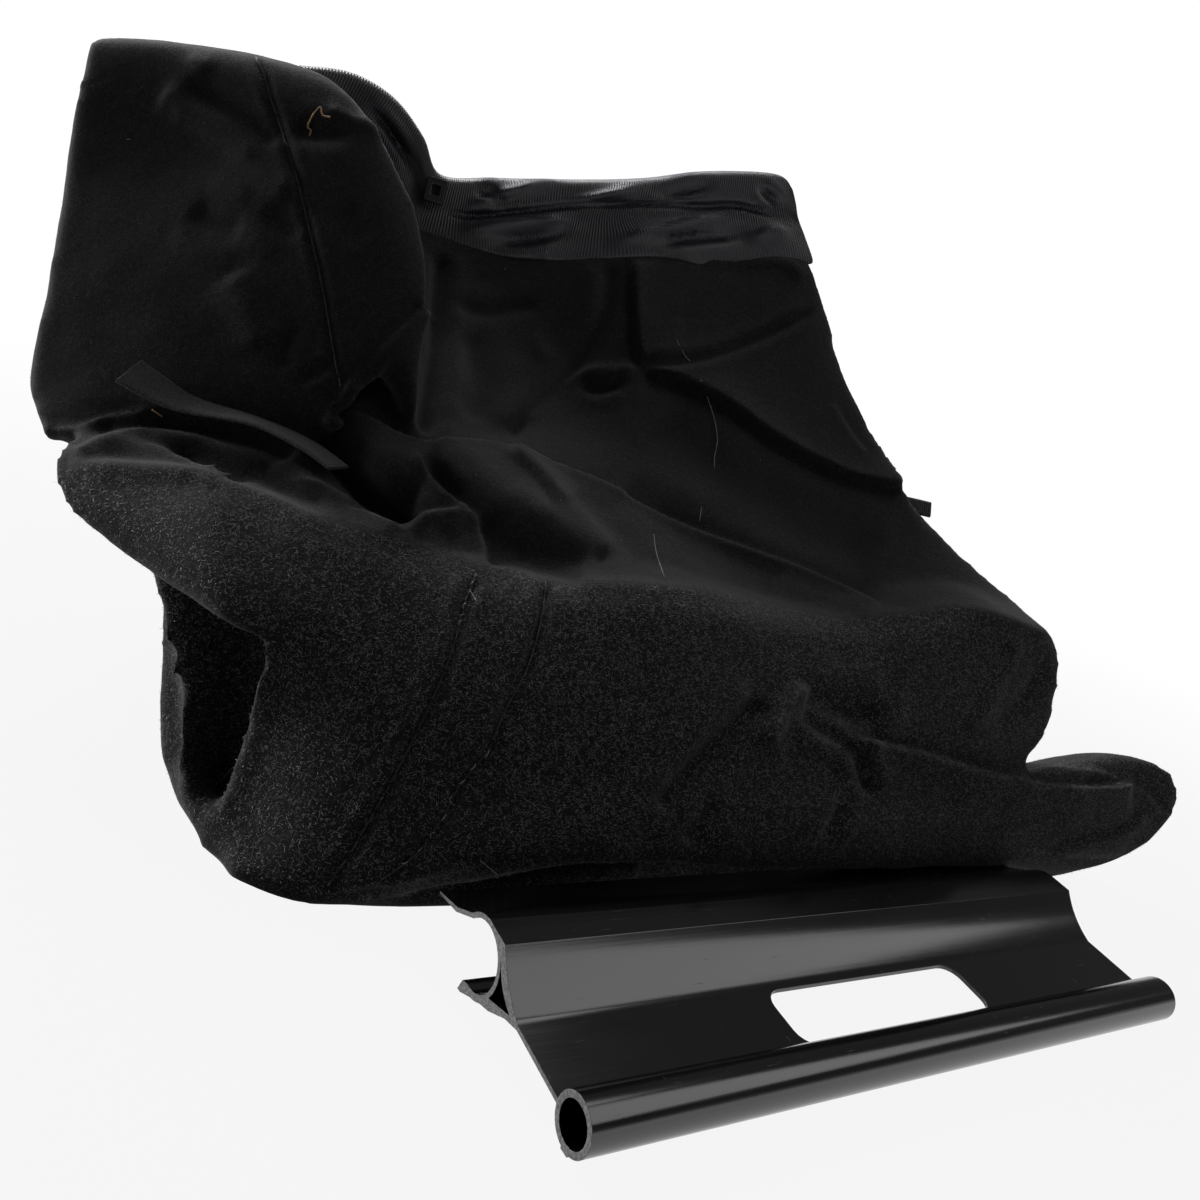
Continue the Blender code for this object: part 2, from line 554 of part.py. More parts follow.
def stand_on_footprint(pieces):
    """Parents the pieces to one empty and moves it so that the origin is under the middle of the part."""
    lows = [math.inf] * 3
    highs = [-math.inf] * 3
    for obj in pieces:
        mesh = evaluated_mesh(obj)
        for vert in mesh.vertices:
            place = obj.matrix_world @ vert.co
            for axis in range(3):
                lows[axis] = min(lows[axis], place[axis])
                highs[axis] = max(highs[axis], place[axis])
        bpy.data.meshes.remove(mesh)
    root = bpy.data.objects.new("bag_frame", None)
    bpy.context.scene.collection.objects.link(root)
    for obj in list(bpy.context.scene.objects):
        if obj is not root:
            obj.parent = root
    root.location = (-(lows[0] + highs[0]) / 2, -(lows[1] + highs[1]) / 2, -lows[2])
    print("moved by", tuple(round(v, 5) for v in root.location))
    print("size", tuple(round(high - low, 5) for low, high in zip(lows, highs)))


def main():
    clear_scene()
    plastic = material("black_plastic", (0.012, 0.012, 0.013), 0.28)
    felt = material("black_felt", (0.022, 0.022, 0.023), 0.95)
    knit = material("black_knit", (0.008, 0.008, 0.012), 0.60)
    webbing = material("black_webbing", (0.010, 0.010, 0.011), 0.70)
    handle = build_handle(plastic)
    collar = build_collar(knit)
    straps = build_straps(webbing)
    bpy.context.view_layer.update()
    tie_head = build_buckle(plastic, collar)
    bpy.context.view_layer.update()
    bag = build_bag(felt, [handle, collar, *straps])
    bpy.context.view_layer.update()
    stand_on_footprint([handle, collar, *straps, tie_head, bag])


main()
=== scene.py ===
# %% [markdown]
# # A chipper shredder bag in felt, knit and extruded plastic
#
# The bag lies folded behind its plastic clip handle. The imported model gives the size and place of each
# piece, and this file gives each one the surface that the real thing has: brushed felt with loose fibres,
# ribbed knit, woven webbing and black plastic with saw-cut ends. Lengths are in metres unless a name ends
# in MM, and X runs along the handle, Y back over the bag and Z up.

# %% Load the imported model
import math

import bmesh
import bpy
import numpy as np
from mathutils import Matrix, Vector
from mathutils import noise as mnoise
from mathutils.bvhtree import BVHTree


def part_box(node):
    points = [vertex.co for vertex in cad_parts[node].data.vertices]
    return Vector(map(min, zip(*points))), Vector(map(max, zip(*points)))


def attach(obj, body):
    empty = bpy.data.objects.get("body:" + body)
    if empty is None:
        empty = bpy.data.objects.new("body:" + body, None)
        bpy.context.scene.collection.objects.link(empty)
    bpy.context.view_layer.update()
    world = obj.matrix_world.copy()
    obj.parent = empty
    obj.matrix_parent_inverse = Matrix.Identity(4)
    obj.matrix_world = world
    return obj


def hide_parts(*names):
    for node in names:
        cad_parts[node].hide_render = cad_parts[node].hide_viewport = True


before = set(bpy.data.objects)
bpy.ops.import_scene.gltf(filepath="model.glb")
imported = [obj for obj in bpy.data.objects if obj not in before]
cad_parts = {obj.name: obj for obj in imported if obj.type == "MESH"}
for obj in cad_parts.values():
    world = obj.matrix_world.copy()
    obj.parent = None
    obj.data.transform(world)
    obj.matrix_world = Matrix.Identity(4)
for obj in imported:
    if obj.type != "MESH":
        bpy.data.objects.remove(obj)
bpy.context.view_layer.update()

scene = bpy.context.scene
scene.view_settings.view_transform = "Standard"
print("CAD nodes:", sorted(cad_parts))

# %% [markdown]
# The points below are drawn from one corner of the handle: X from the middle of its length, Y from the
# middle of the grip tube, Z from the floor. The handle's own box tells where that corner is in the frame,
# so one small function turns drawn millimetres into places in the scene.

# %% From drawn millimetres to the scene
HANDLE_HALF_LENGTH = 0.170
GRIP_RADIUS = 0.010
handle_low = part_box("clip_handle")[0]
ORIGIN = Vector(handle_low) - Vector((-HANDLE_HALF_LENGTH, -GRIP_RADIUS, 0))


def at(x, y, z):
    return ORIGIN + Vector((x, y, z)) * 0.001


def places(*points):
    return [at(*p) for p in points]


print("drawing origin in the frame:", tuple(round(v, 4) for v in ORIGIN))

# %% [markdown]
# ## Camera
#
# A photo of a thing on a table is often taken with the camera a little rolled. The handle lies flat on the
# floor here, so the camera carries the tilt of the horizon: it looks along an azimuth and down by an
# elevation, and then turns about its own line of sight.

# %% Camera at the viewing angle
CAMERA_PLACE = at(-368.7, -202.6, 238.3)
CAMERA_AZIMUTH = math.radians(36.60)
CAMERA_ELEVATION = math.radians(13.95)
CAMERA_ROLL = math.radians(17.15)
CAMERA_LENS_MM = 32.68

forward = Vector((math.sin(CAMERA_AZIMUTH) * math.cos(CAMERA_ELEVATION),
                  math.cos(CAMERA_AZIMUTH) * math.cos(CAMERA_ELEVATION), -math.sin(CAMERA_ELEVATION)))
level_right = Vector((math.cos(CAMERA_AZIMUTH), -math.sin(CAMERA_AZIMUTH), 0))
level_up = level_right.cross(forward)
right = level_right * math.cos(CAMERA_ROLL) + level_up * math.sin(CAMERA_ROLL)
up = right.cross(forward)

camera = bpy.data.objects.new("camera", bpy.data.cameras.new("camera"))
scene.collection.objects.link(camera)
camera.data.lens = CAMERA_LENS_MM
camera.data.clip_start = 0.01
camera.matrix_world = Matrix(((right.x, up.x, -forward.x, CAMERA_PLACE.x),
                              (right.y, up.y, -forward.y, CAMERA_PLACE.y),
                              (right.z, up.z, -forward.z, CAMERA_PLACE.z), (0, 0, 0, 1)))
scene.camera = camera
print("camera at", tuple(round(v, 3) for v in CAMERA_PLACE))

# %% [markdown]
# ## Shader maths as Python
#
# A material is a small program. Wrapping a socket in a class with the usual operators lets that program
# be read as a formula, so `1 - mask * 0.5` adds its own Math nodes. One method adds any other node. The
# world and the floor use the same class further down.


# %% A socket with operators, and the trees that hold them
class Socket:
    def __init__(self, nodes, link):
        self.nodes = nodes
        self.link = link

    def maths(self, operation, *others):
        return self.nodes.node("ShaderNodeMath", {"operation": operation}, dict(enumerate((self, *others))))

    def __add__(self, other):
        return self.maths("ADD", other)

    def __sub__(self, other):
        return self.maths("SUBTRACT", other)

    def __rsub__(self, other):
        return (self * -1) + other

    def __mul__(self, other):
        return self.maths("MULTIPLY", other)

    __radd__ = __add__
    __rmul__ = __mul__

    def highest(self, other):
        return self.maths("MAXIMUM", other)

    def size(self):
        return self.maths("ABSOLUTE")

    def between(self, low, high, at_low=0.0, at_high=1.0):
        """One value below low, another above high and smooth in between."""
        inputs = {"Value": self, "From Min": low, "From Max": high, "To Min": at_low, "To Max": at_high}
        return self.nodes.node("ShaderNodeMapRange", {"interpolation_type": "SMOOTHSTEP"}, inputs)


class Nodes:
    """A node tree and what is added to it."""

    def __init__(self, tree):
        self.tree = tree

    def node(self, kind, settings=None, inputs=None, output=0):
        made = self.tree.nodes.new(kind)
        for name, value in (settings or {}).items():
            setattr(made, name, value)
        for name, value in (inputs or {}).items():
            self.feed(made.inputs[name], value)
        return Socket(self, made.outputs[output])

    def feed(self, target, value):
        if isinstance(value, Socket):
            self.tree.links.new(value.link, target)
        else:
            target.default_value = value

    def ray(self, kind):
        return self.node("ShaderNodeLightPath", output="Is " + kind + " Ray")

    def seen(self):
        """1 for the rays that show a thing, straight, in a reflection or through glass."""
        return self.ray("Camera").highest(self.ray("Glossy")).highest(self.ray("Transmission"))


class Finish(Nodes):
    """A material of one Principled shader, and what feeds it."""

    def __init__(self, name, **constants):
        self.material = bpy.data.materials.new(name)
        self.material.use_nodes = True
        super().__init__(self.material.node_tree)
        self.shader = self.tree.nodes["Principled BSDF"]
        for socket, value in constants.items():
            self.shader.inputs[socket.replace("_", " ")].default_value = value

    def set(self, name, value):
        self.feed(self.shader.inputs[name], value)

    def place(self, scale=(1, 1, 1), turn=(0, 0, 0)):
        """Places on the object in metres, stretched and turned."""
        whole = self.node("ShaderNodeTexCoord", output="Object")
        return self.node("ShaderNodeMapping", {}, {"Vector": whole, "Scale": scale, "Rotation": turn})

    def noise(self, scale, detail=2.0, rough=0.5, where=None):
        vector = where or self.place()
        return self.node("ShaderNodeTexNoise", {}, {"Vector": vector, "Scale": scale, "Detail": detail,
                                                    "Roughness": rough}, "Fac")

    def blend(self, factor, first, second):
        """A colour between two, by a factor."""
        return self.node("ShaderNodeMix", {"data_type": "RGBA"}, {0: factor, 6: first, 7: second}, 2)

    def bump(self, height, strength, distance):
        self.set("Normal", self.node("ShaderNodeBump", {}, {"Strength": strength, "Distance": distance,
                                                            "Height": height}))


def grey(value, blue=0.0):
    return (value, value, value + blue, 1.0)


print("shader helpers ready")

# %% [markdown]
# ## Felt
#
# Brushed felt is dark, but it is never one flat black. Short fibres lie in all directions and catch the
# light one by one, so the colour is a fine speckle, and at a grazing angle the standing nap turns pale.
# Streaks of stretched noise in three directions give the fibres, a broad noise gives the uneven nap, and
# the shader's sheen gives the pale edge. Shade is painted into the colour where the skin sank into a crease.


# %% The felt's finish
def felt_finish():
    felt = Finish("brushed_felt", Roughness=0.95, Sheen_Weight=0.32, Sheen_Roughness=0.45,
                  Specular_IOR_Level=0.2)
    felt.set("Sheen Tint", (0.75, 0.75, 0.78, 1))
    long_nap = felt.node("ShaderNodeAttribute", {"attribute_name": "nap"}, output="Fac")
    # painted shade: how deep each point of the skin sank into a crease
    crease = felt.node("ShaderNodeAttribute", {"attribute_name": "painted_crease_shade"}, output="Fac")
    streaks = None
    for turn in ((0.3, 0.9, 0.2), (1.4, 0.2, 1.1), (0.8, 2.1, 2.4)):
        lines = felt.noise(1.0, 2.0, 0.6, felt.place((420, 2100, 2100), turn))
        line = lines.between(0.58, 0.70)
        streaks = line if streaks is None else streaks.highest(line)
    grain = felt.noise(1500, 2.0, 0.6)
    tufts = felt.noise(330, 3.0, 0.6)
    cloud = felt.noise(14, 3.0, 0.5).between(0.35, 0.75)
    speckle = streaks * (0.45 + 0.55 * cloud) * tufts.between(0.30, 0.62)
    short = felt.blend(tufts.between(0.25, 0.75), grey(0.0035), grey(0.0090))
    brushed = felt.blend(tufts.between(0.30, 0.72), grey(0.0015), grey(0.0085))
    base = felt.blend(long_nap, short, brushed)
    flecked = felt.blend(speckle * (0.22 + 0.63 * long_nap), base, grey(0.230))
    # painted shade: creases darken the colour towards near black
    felt.set("Base Color", felt.blend(crease * 0.7, flecked, grey(0.003)))
    felt.bump(tufts * 0.7 + grain * 0.3 + streaks * 0.35, 0.5, 0.0008)
    return felt.material


FELT = felt_finish()
print("made", FELT.name)

# %% [markdown]
# ## Knit, webbing and plastic
#
# The knit is smoother than the felt and slightly blue, with a soft shine on its ribs. The ribs themselves
# are modelled, so the finish needs only the small loops between them. The webbing is a dull weave. The
# plastic was drawn through a die, which left fine lines along it; the saw left its ends rough and grey.


# %% Knit and webbing finishes
def knit_finish():
    knit = Finish("warp_knit", Roughness=0.46, Sheen_Weight=0.20, Sheen_Roughness=0.35,
                  Specular_IOR_Level=0.45)
    knit.set("Sheen Tint", (0.6, 0.6, 0.85, 1))
    loops = knit.noise(1700, 1.0, 0.5)
    patches = knit.noise(40, 2.0, 0.5)
    knit.set("Base Color", knit.blend(loops.between(0.3, 0.75), grey(0.0060, 0.0030), grey(0.026, 0.0100)))
    knit.set("Roughness", 0.40 + 0.16 * patches)
    knit.bump(loops, 0.35, 0.0003)
    return knit.material


def webbing_finish():
    webbing = Finish("woven_webbing", Roughness=0.72, Sheen_Weight=0.15, Specular_IOR_Level=0.35)
    yarn = webbing.noise(1300, 2.0, 0.6)
    webbing.set("Base Color", webbing.blend(yarn.between(0.35, 0.65), grey(0.005), grey(0.060)))
    webbing.bump(yarn, 0.4, 0.0004)
    return webbing.material


KNIT = knit_finish()
WEBBING = webbing_finish()
print("made", KNIT.name, "and", WEBBING.name)


# %% Plastic finishes
def plastic_finish():
    plastic = Finish("extruded_plastic", Specular_IOR_Level=0.9)
    die_lines = plastic.noise(1.0, 4.0, 0.75, plastic.place((2.0, 1500, 1500)))
    broad_lines = plastic.noise(1.0, 2.0, 0.6, plastic.place((1.2, 330, 330)))
    haze = plastic.noise(60, 3.0, 0.6, plastic.place((0.5, 1.4, 1.4)))
    short = plastic.noise(1.0, 2.0, 0.5, plastic.place((70, 2600, 2600), (0.1, 0.25, 0.5))).between(0.74, 0.78)
    cross = plastic.noise(1.0, 2.0, 0.5, plastic.place((1900, 110, 700), (0.5, 0.1, 0.2))).between(0.75, 0.79)
    scratches = short.highest(cross)
    normal = plastic.node("ShaderNodeNewGeometry", output="True Normal")
    facing = plastic.node("ShaderNodeSeparateXYZ", {}, {"Vector": normal}, "X")
    sawn = facing.size().between(0.80, 0.92)
    saw_marks = plastic.noise(900, 3.0, 0.7)
    body = plastic.blend(die_lines.between(0.45, 0.75), grey(0.0020), grey(0.0050))
    marked = plastic.blend(scratches * 0.5, body, grey(0.07))
    ends = plastic.blend(saw_marks.between(0.30, 0.70), grey(0.045), grey(0.26))
    plastic.set("Base Color", plastic.blend(sawn, marked, ends))
    plastic.set("Roughness", 0.07 + 0.07 * haze + 0.08 * die_lines + 0.5 * sawn + 0.25 * scratches)
    plastic.bump(die_lines * 0.5 + broad_lines * 0.5 + sawn * saw_marks * 3.0 - scratches * 0.8, 0.20, 0.0002)
    return plastic.material


def nylon_finish():
    nylon = Finish("tie_nylon", Roughness=0.22)
    wear = nylon.noise(500, 2.0, 0.5)
    nylon.set("Base Color", nylon.blend(wear, grey(0.040), grey(0.090)))
    nylon.set("Roughness", 0.16 + 0.15 * wear)
    return nylon.material


def lint_finish(name, shade):
    lint = Finish(name, Roughness=0.6)
    uneven = lint.noise(900, 1.0, 0.5)
    deep = tuple(v * 0.6 for v in shade[:3]) + (1.0,)
    lint.set("Base Color", lint.blend(uneven, deep, shade))
    return lint.material


PLASTIC = plastic_finish()
NYLON = nylon_finish()
FIBRE = lint_finish("loose_fibre", (0.27, 0.27, 0.273, 1))
SHORT_FIBRE = lint_finish("short_fibre", (0.05, 0.05, 0.052, 1))
THREAD = lint_finish("seam_thread", (0.55, 0.54, 0.52, 1))
# painted shade: near-black felt for the tubes that stand in for the shade in each seam
SEAM_SHADE = lint_finish("seam_painted_shade_felt", (0.004, 0.004, 0.004, 1))
PALE_LINT = lint_finish("pale_lint", (0.55, 0.53, 0.50, 1))
TAN_LINT = lint_finish("tan_lint", (0.62, 0.36, 0.17, 1))
print("made", PLASTIC.name, NYLON.name, FIBRE.name, THREAD.name, PALE_LINT.name, TAN_LINT.name)


# %% [markdown]
# ## Pieces and meshes
#
# Each new piece rides on the one body of this part, takes its finish, and hides the plain solid that it
# stands for.

# %% Helpers for pieces
def piece(name, mesh, material, slot, *nodes):
    obj = bpy.data.objects.new(name, mesh)
    scene.collection.objects.link(obj)
    mesh.materials.clear()
    mesh.materials.append(material)
    if nodes:
        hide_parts(*nodes)
    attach(obj, "root")
    return obj


def baked(mesh, *modifiers):
    """The mesh after some modifiers, each given as its type and its settings."""
    obj = bpy.data.objects.new("bench", mesh)
    scene.collection.objects.link(obj)
    for kind, settings in modifiers:
        modifier = obj.modifiers.new(kind.lower(), kind)
        for name, value in settings.items():
            setattr(modifier, name, value)
    result = bpy.data.meshes.new_from_object(obj.evaluated_get(bpy.context.evaluated_depsgraph_get()))
    bpy.data.objects.remove(obj, do_unlink=True)
    return result


def welded_copy(node, flat_angle):
    """A CAD node's mesh with its points joined again and its flat faces whole."""
    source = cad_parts[node].data
    mesh = bpy.data.meshes.new(node + "_copy")
    bm = bmesh.new()
    bm.from_mesh(source)
    bmesh.ops.remove_doubles(bm, verts=bm.verts, dist=1e-5)
    bmesh.ops.dissolve_limit(bm, angle_limit=math.radians(flat_angle), verts=bm.verts, edges=bm.edges)
    bm.to_mesh(mesh)
    bm.free()
    return mesh


def points_of(mesh, value="co"):
    flat = np.zeros(len(mesh.vertices) * 3)
    mesh.vertices.foreach_get(value, flat)
    return flat.reshape(-1, 3)


def move_points(mesh, places_now):
    mesh.vertices.foreach_set("co", places_now.reshape(-1))
    mesh.update()


print("piece helpers ready")

# %% [markdown]
# ## The felt as one skin
#
# The bag is drawn as six overlapping lobes: the seat and back, the roll along the front, the flap that
# stands at the left, the tongue at the right, the thin layer under the roll and the fold that closes the
# pocket at the left. Each lobe is a loft, a skin over a row of closed rings. A voxel remesh then melts them
# into one skin, as one piece of cloth looks when it lies folded, a light smoothing takes away the steps of
# the voxels, and the skin is cut flat where it meets the floor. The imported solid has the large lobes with
# fewer faces.


# %% Lofts
def smooth_line(points, steps=8):
    """A Catmull-Rom curve through a few points, as an array."""
    p = [np.array(v, dtype=float) for v in points]
    p = [p[0]] + p + [p[-1]]
    line = []
    for a, b, c, d in zip(p, p[1:], p[2:], p[3:]):
        for i in range(steps):
            t = i / steps
            line.append(0.5 * (2 * b + (c - a) * t + (2 * a - 5 * b + 4 * c - d) * t * t
                               + (3 * b - a - 3 * c + d) * t ** 3))
    line.append(p[-2])
    return np.array(line)


def ring_spline(points, steps):
    """A closed smooth curve through a ring of points, whose tangents suit the length of each span."""
    p = np.array(points)
    count = len(p)
    result = []
    for i in range(count):
        a, b, c, d = (p[(i + k) % count] for k in (-1, 0, 1, 2))
        span = np.linalg.norm(c - b)
        leave = (c - a) * span / (np.linalg.norm(b - a) + span)
        arrive = (d - b) * span / (np.linalg.norm(d - c) + span)
        for j in range(steps):
            t = j / steps
            result.append(b * (2 * t ** 3 - 3 * t * t + 1) + leave * (t ** 3 - 2 * t * t + t)
                          + c * (3 * t * t - 2 * t ** 3) + arrive * (t ** 3 - t * t))
    return np.array(result)


def add_tube(bm, rings, turn=None):
    """A closed skin over rings of as many points.

    With a turn, point i of a ring lies opposite point turn - i, and each end is filled like a ladder,
    rung by rung, so that it follows a bent ring. Without one, each end is a single face."""
    count = len(rings[0])
    made = [[bm.verts.new(tuple(p)) for p in ring] for ring in rings]
    for one, two in zip(made, made[1:]):
        for i in range(count):
            j = (i + 1) % count
            bm.faces.new((one[i], one[j], two[j], two[i]))
    for ring in (made[0], made[-1]):
        if turn is None:
            bm.faces.new(ring)
            continue
        for i in range(-((count - turn) // 2), turn // 2):
            corners = dict.fromkeys(ring[k % count] for k in (i, i + 1, turn - i - 1, turn - i))
            if len(corners) > 2:
                bm.faces.new(tuple(corners))


def finished_mesh(bm, name):
    bmesh.ops.recalc_face_normals(bm, faces=bm.faces)
    mesh = bpy.data.meshes.new(name)
    bm.to_mesh(mesh)
    bm.free()
    mesh.shade_smooth()
    return mesh


def tube_mesh(name, rings, turn=None):
    bm = bmesh.new()
    add_tube(bm, rings, turn)
    return finished_mesh(bm, name)


def loft(name, sections, thin=True, along=8, around=5):
    lines = [smooth_line([s[i] for s in sections], along) for i in range(len(sections[0]))]
    rings = [ring_spline([line[k] for line in lines], around) for k in range(len(lines[0]))]
    return tube_mesh(name, rings, (len(lines) - 1) * around if thin else None)


def sheet_sections(fronts, offsets):
    """Rings that run down a front and come back up its rear."""
    return [front + [p + Vector(offset) * 0.001 for p in reversed(front)] for front, offset in zip(fronts, offsets)]


def run_along(line):
    """The distance from the start of a line to each of its places."""
    return np.concatenate([[0], np.cumsum(np.linalg.norm(np.diff(line, axis=0), axis=1))])


def resampled(line, run, stations):
    return np.stack([np.interp(stations, run, line[:, k]) for k in range(3)], axis=1)


def thin_tube(path, radius, sides=5):
    """Rings of a round wire along a path."""
    path = np.array(path)
    heading = np.gradient(path, axis=0)
    rings = []
    for point, ahead in zip(path, heading):
        ahead = ahead / max(np.linalg.norm(ahead), 1e-9)
        helper = np.array((0, 0, 1)) if abs(ahead[2]) < 0.9 else np.array((1, 0, 0))
        one = np.cross(ahead, helper)
        one /= np.linalg.norm(one)
        two = np.cross(ahead, one)
        rings.append([point + radius * (one * math.cos(a) + two * math.sin(a))
                      for a in np.linspace(0, 2 * math.pi, sides, endpoint=False)])
    return rings


print("loft helpers ready")

# %% Lobes of the folded bag, in drawn mm
BASE = -7
ROLL = [
    places((-288, 318, 121), (-296, 304, 113), (-294, 290, 103), (-288, 281, 97), (-280, 281, 95), (-274, 284, 95)),
    places((-264, 290, 125), (-273, 268, 110), (-272, 255, 98), (-266, 247, 90), (-260, 245, 87), (-254, 248, 87)),
    places((-241, 267, 128), (-244, 235, 113), (-247, 216, 99), (-244, 205, 88), (-238, 203, 84), (-232, 207, 84)),
    places((-231, 256, 127), (-230, 222, 110), (-232, 200, 95), (-231, 191, 83), (-227, 189, 76), (-222, 194, 74)),
    places((-221, 245, 126), (-217, 206, 108), (-219, 188, 84), (-224, 184, 50), (-229, 177, 18), (-237, 172, BASE)),
    places((-204, 225, 124), (-197, 192, 107), (-190, 164, 82), (-196, 148, 50), (-208, 142, 20), (-217, 141, BASE)),
    places((-146, 186, 121), (-154, 162, 102), (-157, 140, 74), (-156, 128, 54), (-158, 114, 34), (-160, 118, 16)),
    places((-93, 172, 128), (-100, 147, 104), (-103, 128, 80), (-103, 118, 62), (-105, 107, 44), (-108, 106, 30)),
    places((-42, 164, 132), (-51, 139, 106), (-54, 124, 86), (-55, 115, 68), (-56, 104, 48), (-54, 102, 30)),
    places((43, 157, 128), (33, 135, 103), (28, 120, 84), (26, 111, 68), (24, 99, 47), (20, 99, 26)),
    places((106, 154, 144), (97, 130, 112), (93, 117, 86), (93, 108, 66), (92, 97, 45), (95, 98, 24)),
    places((150, 146, 152), (148, 128, 120), (147, 116, 90), (148, 110, 70), (155, 100, 45), (160, 99, 25)),
    places((195, 132, 146), (202, 123, 122), (199, 119, 100), (190, 116, 82), (176, 114, 68), (172, 112, 50)),
]
TONGUE = [
    places((30, 128, 88), (30, 118, 70), (32, 108, 52), (34, 104, 34)),
    places((88, 116, 78), (92, 108, 64), (94, 98, 48), (96, 97, 26)),
    places((155, 108, 71), (158, 100, 58), (163, 93, 40), (170, 96, 22)),
    places((212, 112, 76), (214, 96, 60), (224, 91, 38), (228, 97, 15)),
    places((268, 112, 85), (272, 98, 70), (274, 88, 44), (270, 94, 20)),
    places((300, 98, 83), (309, 92, 74), (306, 86, 55), (292, 90, 34)),
    places((311, 96, 72), (314, 92, 66), (309, 92, 56), (304, 94, 50)),
]
HOOD = [
    places((-292, 425, 291), (-295, 411, 252), (-297, 386, 190), (-302, 362, 136), (-294, 338, 116)),
    places((-262, 405, 300), (-258, 384, 252), (-254, 352, 208), (-248, 328, 168), (-240, 312, 136)),
    places((-224, 378, 306), (-214, 348, 270), (-204, 322, 236), (-194, 298, 200), (-190, 282, 150)),
    places((-192, 356, 306), (-183, 328, 280), (-175, 306, 250), (-171, 290, 214), (-186, 281, 165)),
    places((-170, 334, 284), (-159, 319, 266), (-152, 304, 242), (-151, 291, 222), (-168, 283, 190)),
    places((-162, 336, 268), (-155, 322, 256), (-150, 306, 240), (-150, 292, 210), (-148, 276, 165)),
]
SEAT = [
    places((-247, 268, 86), (-248, 270, 91), (-254, 281, 100), (-272, 303, 110), (-283, 322, 118), (-294, 345, 124),
           (-292, 375, 130), (-277, 398, 132), (-264, 410, 126), (-257, 416, 112), (-250, 408, 96), (-250, 340, 84)),
    places((-234, 170, BASE), (-245, 200, 14), (-249, 234, 54), (-253, 268, 98), (-256, 306, 126), (-258, 345, 140),
           (-252, 382, 160), (-240, 408, 180), (-236, 420, 180), (-230, 432, 140), (-216, 434, 70),
           (-196, 412, BASE)),
    places((-212, 146, BASE), (-213, 206, 16), (-216, 246, 96), (-214, 276, 132), (-212, 308, 150), (-208, 340, 166),
           (-206, 382, 206), (-200, 416, 266), (-200, 429, 266), (-202, 442, 180), (-198, 448, 80),
           (-188, 438, BASE)),
    places((-180, 165, BASE), (-182, 165, 50), (-180, 215, 114), (-174, 245, 138), (-166, 280, 158), (-160, 300, 176),
           (-156, 345, 215), (-152, 403, 262), (-152, 416, 262), (-155, 438, 180), (-160, 447, 80),
           (-165, 438, BASE)),
    places((-125, 150, BASE), (-128, 152, 50), (-125, 192, 116), (-122, 226, 148), (-108, 266, 167), (-98, 285, 172),
           (-106, 340, 214), (-120, 389, 258), (-120, 402, 258), (-118, 432, 180), (-116, 450, 80),
           (-115, 440, BASE)),
    places((-65, 142, BASE), (-65, 148, 50), (-65, 180, 118), (-65, 204, 138), (-50, 240, 158), (-47, 308, 196),
           (-58, 338, 224), (-72, 368, 260), (-72, 381, 260), (-66, 420, 180), (-62, 448, 80), (-60, 440, BASE)),
    places((-15, 138, BASE), (-12, 146, 50), (-15, 174, 120), (-18, 192, 135), (-9, 221, 148), (-11, 300, 217),
           (-14, 323, 242), (-13, 352, 281), (-13, 365, 281), (-12, 412, 190), (-10, 445, 80), (-8, 440, BASE)),
    places((45, 136, BASE), (48, 146, 50), (46, 165, 118), (42, 180, 131), (34, 204, 144), (36, 262, 201),
           (38, 300, 246), (38, 335, 289), (40, 348, 289), (45, 398, 190), (50, 434, 80), (55, 430, BASE)),
    places((110, 136, BASE), (112, 142, 50), (108, 160, 126), (104, 168, 137), (92, 179, 137), (90, 240, 194),
           (80, 283, 250), (73, 325, 303), (75, 338, 303), (85, 384, 200), (100, 417, 80), (110, 415, BASE)),
    places((165, 138, BASE), (168, 138, 50), (155, 154, 136), (150, 156, 148), (142, 180, 158), (128, 227, 196),
           (107, 284, 260), (90, 319, 307), (92, 331, 306), (105, 372, 200), (130, 395, 80), (145, 390, BASE)),
    places((215, 150, BASE), (212, 142, 46), (196, 137, 138), (194, 142, 148), (178, 166, 163), (144, 214, 191),
           (114, 281, 252), (95, 321, 304), (97, 331, 302), (115, 352, 200), (160, 358, 80), (190, 340, BASE)),
]
UNDER_LAYER = [
    places((-232, 158, 7), (-233, 154, 3), (-232, 158, -3)),
    places((-214, 144, 8), (-214, 137, 3), (-213, 144, -3)),
    places((-192, 138, 9), (-191, 129, 3), (-190, 138, -3)),
    places((-172, 134, 10), (-170, 125, 4), (-170, 134, -3)),
    places((-140, 131, 13), (-138, 122, 7), (-138, 131, -3)),
    places((-98, 132, 15), (-98, 124, 8), (-98, 132, -3)),
    places((-55, 134, 15), (-55, 128, 8), (-55, 134, -3)),
]
OUTER_FOLD = places((-243, 268, 84), (-242, 254, 51), (-241, 243, 33), (-240, 226, 16), (-238, 206, 9),
                    (-234, 188, 7), (-228, 174, 7), (-219, 163, 7), (-208, 152, 7))
OUTER_FOLD_RADIUS = 0.007
print("lobes drawn with", sum(len(s) for lobe in (ROLL, TONGUE, HOOD, SEAT, UNDER_LAYER) for s in lobe), "points")

# %% Melt the lobes into one skin
SKIN_VOXEL = 0.0028
SKIN_SMOOTHING = 14
hood_back = Vector((10, 34, -4))
low = (4, 43, -30)
lobes = [
    loft("roll", sheet_sections(ROLL, [(10, 12, 4)] * 3 + [(12, 22, 0)] * 2 + [(0, 48, 0)] * 7 + [(-10, 29, 0)])),
    loft("tongue", sheet_sections(TONGUE, [(0, 36, 0)] * 2 + [(0, 36, -8), low, low, (-4, 25, -10), (-4, 11, 0)])),
    loft("hood", sheet_sections(HOOD, [hood_back * k for k in (0.5, 1.2, 1.3, 1.0, 0.8, 0.7)])),
    loft("seat", SEAT, thin=False),
    loft("under_layer", sheet_sections(UNDER_LAYER, [(0, 34, 0)] * len(UNDER_LAYER))),
    tube_mesh("outer_fold", thin_tube(smooth_line(OUTER_FOLD), OUTER_FOLD_RADIUS, 12)),
]
joined = bmesh.new()
